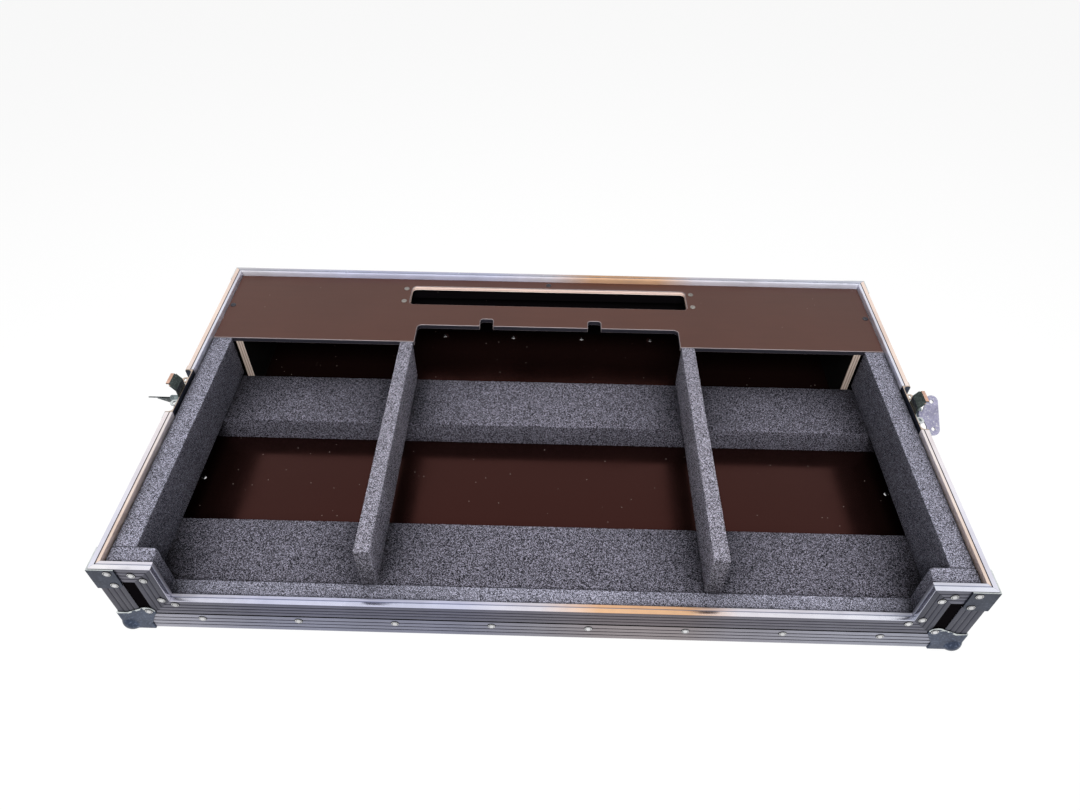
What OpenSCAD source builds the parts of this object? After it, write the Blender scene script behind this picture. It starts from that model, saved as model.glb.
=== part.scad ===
// Open base tray of a disc jockey's flight case: plywood panels held in ribbed aluminium
// edges, ball corners, foam lining, a rear cable deck and two butterfly latches.
// Millimetres. X runs along the width, Y from the front to the back, Z up.
// The origin is on the floor, under the middle of the tray.

/* [Case] */
// Width over the aluminium edges
case_w = 870; // [840:1:960]
// Depth over the aluminium edges
case_d = 488; // [470:1:560]
// Height of the side and rear walls
wall_h = 110; // [104:1:140]
// Height of the low middle stretch of the front wall
low_h = 52.5; // [52:0.5:62]
// Width of the full-height post at each end of the front wall
post_w = 61; // [58:1:80]

/* [Panels] */
// Thickness of the plywood walls
panel_t = 7; // [5.5:0.5:9]
// Thickness of the plywood floor
floor_t = 9; // [7:0.5:12]

/* [Aluminium edges] */
// Thickness of the aluminium skins
skin_t = 1.2; // [1:0.1:1.6]
// Thickness of the inner lip of the rim
lip_t = 1; // [0.8:0.1:1.4]
// Height of the ribbed outer face of the rim
rim_face = 23; // [20:0.5:25]
// Height of the plain inner lip of the rim
rim_lip = 10; // [8:0.5:14]
// Thickness of the top of the rim
rim_top_t = 2.4; // [2:0.1:3.5]
// Leg of the bottom angles
angle_leg = 27; // [24:0.5:29]
// Leg of the upright corner angles
corner_leg = 25; // [22:0.5:28]
// Bands that the grooves divide each ribbed face into
rib_bands = 4; // [2:1:6]
// Width of a groove between two bands
groove_w = 1.6; // [0.8:0.1:2.4]
// Depth of a groove
groove_d = 0.5; // [0.2:0.1:0.8]
// Distance of the long groove on the rim's top from its outer face
rim_groove_at = 6; // [5:0.1:7]
// Rounding of the outer edges
edge_r = 1; // [0.6:0.1:1.8]

/* [Corner fittings] */
// Thickness of the pressed steel corners
fitting_t = 1.4; // [1:0.1:2]
// Radius of the ball on each bottom corner
ball_r = 11.5; // [10:0.5:14]
// Distance of the ball's centre in from each outer face
ball_inset = 6; // [5:0.5:7]
// Flat worn on the underside of each ball
ball_flat = 0.3; // [0.1:0.1:0.6]
// Side of the square part of a ball corner's plate
cap_leg = 30; // [28:0.5:34]
// Distance of the ear's centre in from both edges of its face
ear_at = 32; // [31:0.5:36]
// Radius of the ear
ear_r = 8.5; // [7:0.5:9]
// Width of the top corner brace on each face
brace_w = 25.5; // [24:0.5:30]
// Height of the top corner brace
brace_h = 33; // [32:0.5:38]
// Rounding of the brace's free corners
brace_r = 8; // [4:0.5:10]

/* [Rivets] */
// Radius of a rivet's domed head
rivet_head_r = 4.4; // [3.6:0.1:5]
// Height of a rivet's domed head
rivet_head_h = 1.7; // [1.2:0.1:2.2]
// Radius of a rivet's shank
rivet_r = 2.4; // [1.6:0.1:2.6]
// Spacing of the rivets along the bottom edges
rivet_pitch = 100; // [80:1:130]
// Distance of the rivet rows from the bottom edges
rivet_row = 20; // [18:0.5:21]

/* [Deck] */
// Thickness of the rear deck
deck_t = 6.5; // [6:0.5:10]
// Depth of the rear deck from front to back
deck_d = 131; // [126:1:150]
// Width of the cut-out in the deck's front edge
cutout_w = 338; // [300:1:360]
// Depth of the cut-out
cutout_d = 33.5; // [24:0.5:34]
// Width of the two notches in the cut-out
notch_w = 17; // [10:0.5:24]
// Depth of the notches
notch_d = 14.5; // [8:0.5:16]
// Length of the cable slot
slot_w = 372; // [300:1:390]
// Width of the cable slot
slot_d = 39; // [30:0.5:42]
// Distance of the cable slot from the deck's rear edge
slot_back = 16; // [14:0.5:20]
// Corner radius of the notches
notch_r = 4; // [2:0.5:4.5]
// Corner radius of the slot and the cut-out
slot_r = 6; // [3:0.5:8]
// Side of the square battens that carry the deck
batten = 15; // [12:0.5:18]
// Thickness of the plywood supports that stand under the deck
support_t = 9; // [6:0.5:12]

/* [Foam] */
// Drop of the foam and the deck below the rim
foam_drop = 6.6; // [5:0.1:8]
// Thickness of the foam along the side walls
side_foam_t = 25; // [20:0.5:28]
// Thickness of the foam along the front wall
front_foam_t = 21; // [18:0.5:24]
// Thickness of the two floor blocks
block_t = 33.3; // [28:0.1:34]
// Depth of the two floor blocks
block_d = 80; // [60:1:84]
// Gap between the rear floor block and the deck's front edge
block_back = 6.5; // [4:0.5:12]
// Width of the bay between the two dividers
bay_w = 340; // [320:1:380]
// Thickness of the dividers
divider_t = 17; // [12:0.5:20]

/* [Latches] */
// Length of the opening that a latch dish makes in the rim
dish_w = 69; // [66:0.5:76]
// Depth of the latch dish behind the outer face of the wall
dish_d = 8; // [7.6:0.1:8.4]
// Height of the latch dish
dish_h = 45; // [43:0.5:50]
// Thickness of the pressed dish
dish_t = 0.9; // [0.7:0.1:1]
// Width of the flange round the dish
flange_w = 8; // [7:0.5:10]
// Distance of the spindle below the rim
spindle_drop = 13; // [12:0.5:14]
// Radius of the spindle's shaft
spindle_r = 4; // [3:0.1:4.5]
// Throw of the crank that lifts the hook
crank_throw = 4.5; // [3.5:0.1:4.8]
// Travel of the hook between unlocked and locked
hook_travel = 9; // [7:0.5:10]
// Width of the hook plate
hook_w = 20; // [18:0.5:22]
// Thickness of the hook plate and the bracket
plate_t = 1.6; // [1.4:0.1:1.7]
// Height of the hook's lip above the rim
hook_rise = 19; // [17:0.5:22]
// Reach of the hook's lip
lip_reach = 2.4; // [2:0.1:3.2]
// Distance between the finger holes of a wing
wing_holes = 32.6; // [28:0.2:36]
// Radius of the wing's rounded ends
wing_end_r = 7.6; // [6:0.1:8]
// Reach of the open wing beyond the wall
wing_reach = 27.2; // [24:0.2:32]
// Thickness of the wing
wing_t = 1.5; // [1.2:0.1:1.8]
// Turn of the right wing out of level, as it was left
right_turn = 34; // [0:1:46]
// Turn of the left wing out of level, as it was left
left_turn = 46; // [0:1:46]

/* [Hidden] */
$fn = 48;

// Overrun of every cut past the face that it leaves
over = 1;
// Clearance between flat pieces that could slide past each other
clear = 0.3;
// Clearance of a shank or a shaft in its bore, on the radius
bore_clear = 0.05;

wall_t = skin_t + panel_t + lip_t;
half_w = case_w / 2;
half_d = case_d / 2;
inner_x = half_w - wall_t;
inner_y = half_d - wall_t;
panel_in = skin_t + panel_t;
floor_top = skin_t + floor_t;
lift = ball_r - ball_inset - ball_flat;
deck_top = wall_h - foam_drop;
deck_under = deck_top - deck_t;
deck_gap = 0.4;
deck_front = inner_y - deck_gap - deck_d;
block_top = floor_top + block_t;
foam_front = -inner_y + front_foam_t;
rear_block_y = deck_front - block_back - block_d;
post_x = half_w - post_w;

// Places along an edge for rivets at a steady pitch, kept clear of both corners
rivet_end = 80;
function rivet_places(length) =
    let (last = floor((length - 2 * rivet_end) / rivet_pitch))
    [for (i = [0:last]) (i - last / 2) * rivet_pitch];
front_places = rivet_places(case_w);
side_places = rivet_places(case_d);
tail_r = 3.4;
wall_tail_h = 0.8;
floor_tail_h = 1.4;

// Rivets of a brace, in from its corner and down from the rim
brace_rivet_x = 17.7;
brace_rivet_z = [6.5, 26.8];
// Rivets on both sides of the mitres of the front trim: in from the corner, up from the floor
post_rivets = [[post_w - 22, wall_h - 10.8]];
step_rivets = [[post_w - 13, wall_h - 19.4], [post_w - 7, low_h + 2.5]];
low_rivet = [post_w + 4.1, low_h - 5.6];
// Rivets of a latch's flange, along the wall and down from the rim
latch_rivet_y = dish_w / 2 + 4.6;
latch_rivet_z = [8, 37];
latch_foot_y = 16;

module lifted() {
    translate([0, 0, lift]) children();
}

// Edge profiles. The first coordinate runs in from the outer face, the second up.
function face_notch(at) = [[0, at - groove_w / 2], [groove_d, at], [0, at + groove_w / 2]];
function foot_notch(at) = [[at - groove_w / 2, 0], [at, groove_d], [at + groove_w / 2, 0]];
function round_edge(r) = [for (a = [0:30:90]) [r - r * cos(a), -r + r * sin(a)]];

top_groove_w = 1.2;
rim_points = concat(
    [[skin_t, -rim_face], [0, -rim_face]],
    [for (i = [rib_bands - 1:-1:1]) each face_notch(-rim_face * i / rib_bands)],
    round_edge(edge_r),
    [[rim_groove_at - top_groove_w / 2, 0], [rim_groove_at, -top_groove_w],
     [rim_groove_at + top_groove_w / 2, 0]],
    [[wall_t, 0], [wall_t, -rim_lip], [panel_in, -rim_lip],
     [panel_in, -rim_top_t], [skin_t, -rim_top_t]]);

function angle_points(leg) = concat(
    [[edge_r, 0]],
    [for (i = [1:rib_bands - 1]) each foot_notch(leg * i / rib_bands)],
    [[leg, 0], [leg, skin_t], [skin_t, skin_t], [skin_t, leg], [0, leg]],
    [for (i = [rib_bands - 1:-1:1])
        each [for (p = [2:-1:0]) face_notch(leg * i / rib_bands)[p]]],
    [[0, edge_r]]);

// A bar of profile along X with its outer face to the front, from x0 to x1, edge at height z
module front_bar(points, x0, x1, z) {
    translate([x0, -half_d, z]) rotate([90, 0, 90]) linear_extrude(x1 - x0) polygon(points);
}

// The same along Y on the left wall, from y0 to y1
module left_bar(points, y0, y1, z) {
    translate([-half_w, y1, z]) rotate([90, 0, 0]) linear_extrude(y1 - y0) polygon(points);
}

mitre = 2 * angle_leg;

// Plan of the stretch of the edges that belongs to the front, mitred at both corners
module front_plan() {
    translate([0, 0, -over]) linear_extrude(wall_h + 2 * over)
        polygon([[-half_w - over, -half_d - over], [half_w + over, -half_d - over],
                 [half_w - mitre, -half_d + mitre], [-half_w + mitre, -half_d + mitre]]);
}

module left_plan() {
    translate([0, 0, -over]) linear_extrude(wall_h + 2 * over)
        polygon([[-half_w - over, -half_d - over], [-half_w + mitre, -half_d + mitre],
                 [-half_w + mitre, half_d - mitre], [-half_w - over, half_d + over]]);
}

// A slab across the front wall's edges, seen from the front
module front_view(points) {
    translate([0, -half_d + wall_t + over, 0]) rotate([90, 0, 0])
        linear_extrude(wall_t + 2 * over) polygon(points);
}

// Bores for shanks of a given length that enter a face at the given places
module front_bores(places, length) {
    for (p = places) translate([p[0], -half_d - over, p[1]]) rotate([-90, 0, 0])
        cylinder(r = rivet_r + bore_clear, h = length + over);
}

module left_bores(places, length) {
    for (p = places) translate([-half_w - over, p[0], p[1]]) rotate([0, 90, 0])
        cylinder(r = rivet_r + bore_clear, h = length + over);
}

module floor_bores(places) {
    for (p = places) translate([p[0], p[1], -over])
        cylinder(r = rivet_r + bore_clear, h = floor_top + 2 * over);
}

ear_rivet = ear_at + 2.5;
ear_blind = 5;
row_front = [for (x = front_places) [x, rivet_row]];
row_side = [for (y = side_places) [y, rivet_row]];
ear_front = [for (s = [-1, 1]) [s * (half_w - ear_rivet), ear_rivet]];
ear_side = [for (s = [-1, 1]) [s * (half_d - ear_rivet), ear_rivet]];
brace_front = [for (s = [-1, 1], z = brace_rivet_z) [s * (half_w - brace_rivet_x), wall_h - z]];
brace_side = [for (s = [-1, 1], z = brace_rivet_z) [s * (half_d - brace_rivet_x), wall_h - z]];
trim_front = [for (s = [-1, 1], p = concat(post_rivets, step_rivets, [low_rivet]))
    [s * (half_w - p[0]), p[1]]];
flange_side = [for (s = [-1, 1], z = latch_rivet_z) [s * latch_rivet_y, wall_h - z]];
flange_foot = [for (s = [-1, 1]) [s * latch_foot_y, wall_h - dish_h - dish_t - flange_w / 2]];
floor_row_x = [for (x = front_places, s = [-1, 1]) [x, s * (half_d - rivet_row)]];
floor_row_y = [for (y = side_places, s = [-1, 1]) [s * (half_w - rivet_row), y]];
floor_row = concat(floor_row_x, floor_row_y);
floor_ears = [for (sx = [-1, 1], sy = [-1, 1])
    [sx * (half_w - ear_rivet), sy * (half_d - ear_rivet)]];

module floor_panel() {
    color("saddlebrown") lifted() difference() {
        translate([-half_w + panel_in, -half_d + panel_in, skin_t])
            cube([case_w - 2 * panel_in, case_d - 2 * panel_in, floor_t]);
        floor_bores(floor_row);
        for (p = floor_ears) translate([p[0], p[1], 0])
            cylinder(r = rivet_r + bore_clear, h = skin_t + ear_blind + clear);
    }
}

// Full-width panel set in behind the skin, used by the front and the rear wall
module across_panel(points) {
    translate([0, -half_d + panel_in, 0]) rotate([90, 0, 0])
        linear_extrude(panel_t) polygon(points);
}

end_x = half_w - panel_in;
post_edge = post_x + rim_top_t;
module front_panel() {
    color("saddlebrown") lifted() difference() {
        across_panel([[-end_x, skin_t], [end_x, skin_t], [end_x, wall_h - rim_top_t],
            [post_edge, wall_h - rim_top_t], [post_edge, low_h - rim_top_t],
            [-post_edge, low_h - rim_top_t], [-post_edge, wall_h - rim_top_t],
            [-end_x, wall_h - rim_top_t]]);
        front_bores(concat(row_front, ear_front, brace_front, trim_front), wall_t + over);
    }
}

module rear_panel() {
    color("saddlebrown") lifted() mirror([0, 1, 0]) difference() {
        across_panel([[-end_x, skin_t], [end_x, skin_t],
            [end_x, wall_h - rim_top_t], [-end_x, wall_h - rim_top_t]]);
        front_bores(concat(row_front, ear_front, brace_front), wall_t + over);
    }
}

dish_body = dish_w / 2 + dish_t + clear;
module left_panel() {
    color("saddlebrown") lifted() difference() {
        translate([-half_w + skin_t, -half_d + skin_t, skin_t])
            cube([panel_t, case_d - 2 * skin_t, wall_h - skin_t - rim_top_t]);
        translate([-half_w, -dish_body, wall_h - dish_h - dish_t - clear])
            cube([wall_t, 2 * dish_body, dish_h + over]);
        left_bores(concat(row_side, ear_side, brace_side, flange_side, flange_foot), wall_t + over);
    }
}

module right_panel() {
    mirror([1, 0, 0]) left_panel();
}

module rear_rim() {
    color("gainsboro") lifted() mirror([0, 1, 0]) difference() {
        intersection() {
            front_bar(rim_points, -half_w, half_w, wall_h);
            front_plan();
        }
        front_bores(brace_front, panel_in);
    }
}

// The stretch of side rim in front of a latch
module side_front_rim() {
    color("gainsboro") lifted() difference() {
        intersection() {
            left_bar(rim_points, -half_d, -dish_body, wall_h);
            left_plan();
        }
        left_bores(concat(brace_side, flange_side), panel_in);
    }
}

module left_front_rim() {
    side_front_rim();
}

module left_rear_rim() {
    mirror([0, 1, 0]) side_front_rim();
}

module right_front_rim() {
    mirror([1, 0, 0]) side_front_rim();
}

module right_rear_rim() {
    rotate([0, 0, 180]) side_front_rim();
}

// Rim on top of the left post: mitred at the case's corner and at the step
module left_post_rim() {
    color("gainsboro") lifted() difference() {
        intersection() {
            front_bar(rim_points, -half_w, -post_x, wall_h);
            front_plan();
            front_view([[-half_w - over, wall_h + over], [-post_x + over, wall_h + over],
                [-half_w, wall_h - post_w], [-half_w - over, wall_h - post_w]]);
        }
        front_bores(concat(brace_front, trim_front), panel_in);
    }
}

module right_post_rim() {
    mirror([1, 0, 0]) left_post_rim();
}

// Upright rim along the inner edge of the left post, mitred at both ends
module left_step_trim() {
    color("gainsboro") lifted() difference() {
        intersection() {
            translate([-post_x, -half_d, low_h - rim_face - over]) mirror([1, -1, 0])
                linear_extrude(wall_h - low_h + rim_face + 2 * over) polygon(rim_points);
            front_view([[-post_x + over, wall_h + over], [-post_x + over, low_h + over],
                [-post_x - rim_face - over, low_h - rim_face - over],
                [-post_x - rim_face - over, wall_h - rim_face - over]]);
        }
        front_bores(trim_front, panel_in);
    }
}

module right_step_trim() {
    mirror([1, 0, 0]) left_step_trim();
}

module front_low_rim() {
    low_end = post_x + rim_face + over;
    color("gainsboro") lifted() difference() {
        intersection() {
            front_bar(rim_points, -low_end, low_end, low_h);
            front_view([[-low_end, low_h - rim_face - over], [-post_x + over, low_h + over],
                [post_x - over, low_h + over], [low_end, low_h - rim_face - over]]);
        }
        front_bores(trim_front, panel_in);
    }
}

module front_bottom_angle() {
    color("lightgray") lifted() difference() {
        intersection() {
            front_bar(angle_points(angle_leg), -half_w, half_w, 0);
            front_plan();
        }
        front_bores(row_front, panel_in);
        floor_bores(floor_row);
    }
}

module rear_bottom_angle() {
    mirror([0, 1, 0]) front_bottom_angle();
}

module left_bottom_angle() {
    color("lightgray") lifted() difference() {
        intersection() {
            left_bar(angle_points(angle_leg), -half_d, half_d, 0);
            left_plan();
        }
        left_bores(row_side, panel_in);
        floor_bores(floor_row);
    }
}

module right_bottom_angle() {
    mirror([1, 0, 0]) left_bottom_angle();
}

// Upright angle between the bottom angle and the rim
module front_left_corner_angle() {
    color("lightgray") lifted() difference() {
        translate([-half_w, -half_d, angle_leg])
            linear_extrude(wall_h - rim_face - angle_leg) polygon(angle_points(corner_leg));
        front_bores(brace_front, panel_in);
        left_bores(brace_side, panel_in);
    }
}

module front_right_corner_angle() {
    mirror([1, 0, 0]) front_left_corner_angle();
}

module rear_left_corner_angle() {
    mirror([0, 1, 0]) front_left_corner_angle();
}

module rear_right_corner_angle() {
    rotate([0, 0, 180]) front_left_corner_angle();
}

// Outline of a ball corner's plate on one face, from the corner out: a square with an ear
ear_side_share = 0.7;
module cap_outline() {
    reach = ear_at + ear_r * ear_side_share;
    back = ear_at - ear_r * ear_side_share;
    translate([-fitting_t, -fitting_t]) square(cap_leg + fitting_t);
    polygon([[0, cap_leg], [cap_leg / 3, cap_leg], [back, reach],
        [reach, back], [cap_leg, cap_leg / 3], [cap_leg, 0]]);
    translate([ear_at, ear_at]) circle(ear_r);
}

module cap_plate() {
    difference() {
        linear_extrude(fitting_t) cap_outline();
        translate([ear_rivet, ear_rivet, -over])
            cylinder(r = rivet_r + bore_clear, h = fitting_t + 2 * over);
    }
}

// Pressed corner with a ball, at the front left: three plates outside the skins
module front_left_ball_corner() {
    color("slategray") lifted() translate([-half_w, -half_d, 0]) difference() {
        union() {
            translate([0, 0, -fitting_t]) cap_plate();
            rotate([90, 0, 0]) cap_plate();
            mirror([1, -1, 0]) rotate([90, 0, 0]) cap_plate();
            translate([ball_inset, ball_inset, ball_inset]) sphere(ball_r);
        }
        cube(2 * ball_r + 2 * cap_leg);
        translate([-2 * ball_r, -2 * ball_r, -lift - 2 * ball_r]) cube([4 * ball_r, 4 * ball_r, 2 * ball_r]);
    }
}

module front_right_ball_corner() {
    mirror([1, 0, 0]) front_left_ball_corner();
}

module rear_left_ball_corner() {
    mirror([0, 1, 0]) front_left_ball_corner();
}

module rear_right_ball_corner() {
    rotate([0, 0, 180]) front_left_ball_corner();
}

// One face of a top brace, from the corner inwards and down
module brace_leg() {
    difference() {
        union() {
            translate([-fitting_t, -brace_h + brace_r]) square([brace_w + fitting_t, brace_h - brace_r - edge_r]);
            translate([-fitting_t, -brace_h]) square([brace_w + fitting_t - brace_r, brace_r + over]);
            translate([brace_w - brace_r, -brace_h + brace_r]) circle(brace_r);
        }
        for (z = brace_rivet_z) translate([brace_rivet_x, -z]) circle(rivet_r + bore_clear);
    }
}

module front_left_brace() {
    color("slategray") lifted() translate([-half_w, -half_d, wall_h]) {
        difference() {
            union() {
                rotate([90, 0, 0]) linear_extrude(fitting_t) brace_leg();
                mirror([1, -1, 0]) rotate([90, 0, 0]) linear_extrude(fitting_t) brace_leg();
            }
            translate([-fitting_t - over, -fitting_t - over, -over - brace_h])
                linear_extrude(brace_h + 2 * over)
                polygon([[0, 0], [over + edge_r, 0], [0, over + edge_r]]);
        }
    }
}

module front_right_brace() {
    mirror([1, 0, 0]) front_left_brace();
}

module rear_left_brace() {
    mirror([0, 1, 0]) front_left_brace();
}

module rear_right_brace() {
    rotate([0, 0, 180]) front_left_brace();
}

// Domed rivet: the head sits on Z = 0, the shank goes down by grip, the tail spreads below it
dome_shares = [[1, 0], [0.97, 0.3], [0.82, 0.65], [0.52, 0.92], [0.3, 1]];
module rivet(grip, tail_h) {
    tail = tail_h > 0 ? [[tail_r, -grip], [tail_r * dome_shares[1][0], -grip - tail_h * dome_shares[2][1]],
        [tail_r * dome_shares[3][0], -grip - tail_h], [0, -grip - tail_h]] : [[0, -grip]];
    rotate_extrude($fn = 24) polygon(concat(
        [[0, rivet_head_h]],
        [for (i = [len(dome_shares) - 1:-1:0])
            [rivet_head_r * dome_shares[i][0], rivet_head_h * dome_shares[i][1]]],
        [[rivet_r, 0], [rivet_r, -grip]], tail));
}

module front_rivets(places, grip, tail_h, proud) {
    for (p = places) translate([p[0], -half_d - proud, p[1]]) rotate([90, 0, 0])
        rivet(grip + proud, tail_h);
}

module left_rivets(places, grip, tail_h, proud) {
    for (p = places) translate([-half_w - proud, p[0], p[1]]) rotate([0, -90, 0])
        rivet(grip + proud, tail_h);
}

module floor_rivets(places, grip, tail_h, proud) {
    for (p = places) translate([p[0], p[1], -proud]) rotate([180, 0, 0])
        rivet(grip + proud, tail_h);
}

module edge_rivets() {
    color("white") lifted() {
        for (back = [0, 1]) mirror([0, back, 0])
            front_rivets(row_front, panel_in, wall_tail_h, 0);
        for (right = [0, 1]) mirror([right, 0, 0])
            left_rivets(row_side, panel_in, wall_tail_h, 0);
        floor_rivets(floor_row, floor_top, floor_tail_h, 0);
    }
}

module corner_rivets() {
    color("white") lifted() {
        front_rivets(trim_front, panel_in, 0, 0);
        for (back = [0, 1]) mirror([0, back, 0])
            front_rivets(concat(ear_front, brace_front), panel_in, 0, fitting_t);
        for (right = [0, 1]) mirror([right, 0, 0])
            left_rivets(concat(ear_side, brace_side), panel_in, 0, fitting_t);
        floor_rivets(floor_ears, skin_t + ear_blind, 0, fitting_t);
    }
}

module latch_rivets() {
    color("white") lifted() for (right = [0, 1]) mirror([right, 0, 0])
        left_rivets(concat(flange_side, flange_foot), panel_in, 0, dish_t);
}

// Deck and what carries it
deck_y1 = inner_y - deck_gap;
deck_x = inner_x - deck_gap;
notch_shares = [-0.2355, 0.1805];
deck_screw_in = 6;
rear_screw_in = 8;
slot_screw_out = 7.6;
slot_screw_share = 0.345;
slot_y = deck_y1 - slot_back - slot_d / 2;
deck_screw_places = [[-deck_x + deck_screw_in, deck_front + deck_d / 2],
    [deck_x - deck_screw_in, deck_front + deck_d / 2], [0, deck_y1 - rear_screw_in]];
slot_screw_places = [for (sx = [-1, 1], sy = [-1, 1])
    [sx * (slot_w / 2 + slot_screw_out), slot_y + sy * slot_d * slot_screw_share]];
screw_head_r = 3.7;
screw_head_h = 1.5;
screw_r = 1.9;
deck_screw_l = 18;
slot_screw_l = 7;

// Rectangle with rounded corners about the origin, w by d
module rounded_plan(w, d, r) {
    square([w - 2 * r, d], center = true);
    square([w, d - 2 * r], center = true);
    for (sx = [-1, 1], sy = [-1, 1]) translate([sx * (w / 2 - r), sy * (d / 2 - r)]) circle(r);
}

module rear_deck() {
    color("saddlebrown") lifted() translate([0, 0, deck_under]) difference() {
        translate([-deck_x, deck_front, 0]) cube([2 * deck_x, deck_d, deck_t]);
        translate([0, slot_y, -over]) linear_extrude(deck_t + 2 * over)
            rounded_plan(slot_w, slot_d, slot_r);
        translate([0, deck_front, -over]) linear_extrude(deck_t + 2 * over)
            rounded_plan(cutout_w, 2 * cutout_d, slot_r);
        for (s = notch_shares) translate([s * cutout_w, deck_front + cutout_d / 2, -over])
            linear_extrude(deck_t + 2 * over)
            rounded_plan(notch_w, cutout_d + 2 * notch_d, notch_r);
        for (p = concat(deck_screw_places, slot_screw_places)) translate([p[0], p[1], -over])
            cylinder(r = screw_r + bore_clear, h = deck_t + 2 * over);
    }
}

support_x = inner_x - side_foam_t - clear - 2.4;
module left_deck_support() {
    color("burlywood") lifted() translate([-support_x, deck_front, floor_top])
        cube([support_t, half_d - panel_in - deck_front, deck_under - floor_top]);
}

module right_deck_support() {
    mirror([1, 0, 0]) left_deck_support();
}

module left_deck_batten() {
    color("burlywood") lifted() difference() {
        translate([-half_w + panel_in, deck_front, deck_under - batten])
            cube([batten, half_d - panel_in - deck_front, batten]);
        for (p = deck_screw_places) translate([p[0], p[1], deck_top - deck_screw_l - clear])
            cylinder(r = screw_r + bore_clear, h = deck_screw_l);
    }
}

module right_deck_batten() {
    mirror([1, 0, 0]) left_deck_batten();
}

module rear_deck_batten() {
    length = 2 * (support_x - support_t);
    color("burlywood") lifted() difference() {
        translate([-length / 2, half_d - panel_in - batten, deck_under - batten])
            cube([length, batten, batten]);
        for (p = deck_screw_places) translate([p[0], p[1], deck_top - deck_screw_l - clear])
            cylinder(r = screw_r + bore_clear, h = deck_screw_l);
    }
}

module screw(length) {
    rotate_extrude($fn = 24) polygon([[0, screw_head_h], [screw_head_r * 0.6, screw_head_h],
        [screw_head_r * 0.92, screw_head_h * 0.6], [screw_head_r, 0], [screw_r, 0],
        [screw_r, -length + screw_r], [0, -length]]);
}

module deck_screws() {
    color("silver") lifted() translate([0, 0, deck_top]) {
        for (p = deck_screw_places) translate([p[0], p[1], 0]) screw(deck_screw_l);
        for (p = slot_screw_places) translate([p[0], p[1], 0]) screw(slot_screw_l);
    }
}

// Hollows under the foam for the tails of the floor rivets
module tail_pockets() {
    for (p = floor_row) translate([p[0], p[1], floor_top - over])
        cylinder(r = tail_r + clear, h = floor_tail_h + clear + over, $fn = 8);
}

foam_x = inner_x - side_foam_t;
module left_side_foam() {
    color("dimgray") lifted() translate([-inner_x, foam_front + clear, block_top])
        cube([side_foam_t, deck_front - clear - foam_front - clear, deck_top - block_top]);
}

module right_side_foam() {
    mirror([1, 0, 0]) left_side_foam();
}

foam_round = 4;
function arc(cx, cz, r, a0, a1) = [for (i = [0:4])
    let (a = a0 + (a1 - a0) * i / 4) [cx + r * cos(a), cz + r * sin(a)]];

module front_foam() {
    foam_post = post_x + foam_drop;
    low_top = low_h - foam_drop;
    color("dimgray") lifted() difference() {
        translate([0, foam_front, 0]) rotate([90, 0, 0]) linear_extrude(front_foam_t)
            polygon(concat([[-inner_x, floor_top], [inner_x, floor_top], [inner_x, deck_top]],
                arc(foam_post + foam_round, deck_top - foam_round, foam_round, 90, 180),
                [[foam_post, low_top], [-foam_post, low_top]],
                arc(-foam_post - foam_round, deck_top - foam_round, foam_round, 0, 90),
                [[-inner_x, deck_top]]));
        tail_pockets();
    }
}

module floor_block(y) {
    color("dimgray") lifted() difference() {
        translate([-inner_x, y, floor_top]) cube([2 * inner_x, block_d, block_t]);
        tail_pockets();
    }
}

module front_floor_block() {
    floor_block(foam_front);
}

module rear_floor_block() {
    floor_block(rear_block_y);
}

module left_divider() {
    color("gray") lifted() translate([-bay_w / 2 - divider_t, foam_front + clear, block_top])
        cube([divider_t, deck_front - foam_front - 2 * clear, deck_top - block_top]);
}

module right_divider() {
    mirror([1, 0, 0]) left_divider();
}

// Latches. Each is drawn about the middle of its wall: X out of the wall from its outer
// face, Y to the right as seen from outside, Z up from the rim.
module on_right() {
    lifted() translate([half_w, 0, wall_h]) children();
}

module on_left() {
    lifted() rotate([0, 0, 180]) translate([half_w, 0, wall_h]) children();
}

cove_r = 5;
loop_y = 19;
loop_w = 9;
loop_drop = 1.5;
loop_hole_w = 4.6;
loop_hole_d = 2.6;
module dish_hollow() {
    intersection() {
        translate([0, 0, -dish_h]) linear_extrude(dish_h + over) union() {
            translate([-dish_d + cove_r, -dish_w / 2]) square([dish_d - cove_r + 2 * over, dish_w]);
            translate([-dish_d, -dish_w / 2 + cove_r]) square([dish_d + over, dish_w - 2 * cove_r]);
            for (s = [-1, 1]) translate([-dish_d + cove_r, s * (dish_w / 2 - cove_r)]) circle(cove_r);
        }
        translate([0, dish_w / 2 + over, 0]) rotate([90, 0, 0]) linear_extrude(dish_w + 2 * over)
            union() {
                translate([-dish_d + cove_r, -dish_h]) square([dish_d - cove_r + 2 * over, dish_h + over]);
                translate([-dish_d, -dish_h + cove_r]) square([dish_d + over, dish_h - cove_r + over]);
                translate([-dish_d + cove_r, -dish_h + cove_r]) circle(cove_r);
            }
    }
}

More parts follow.
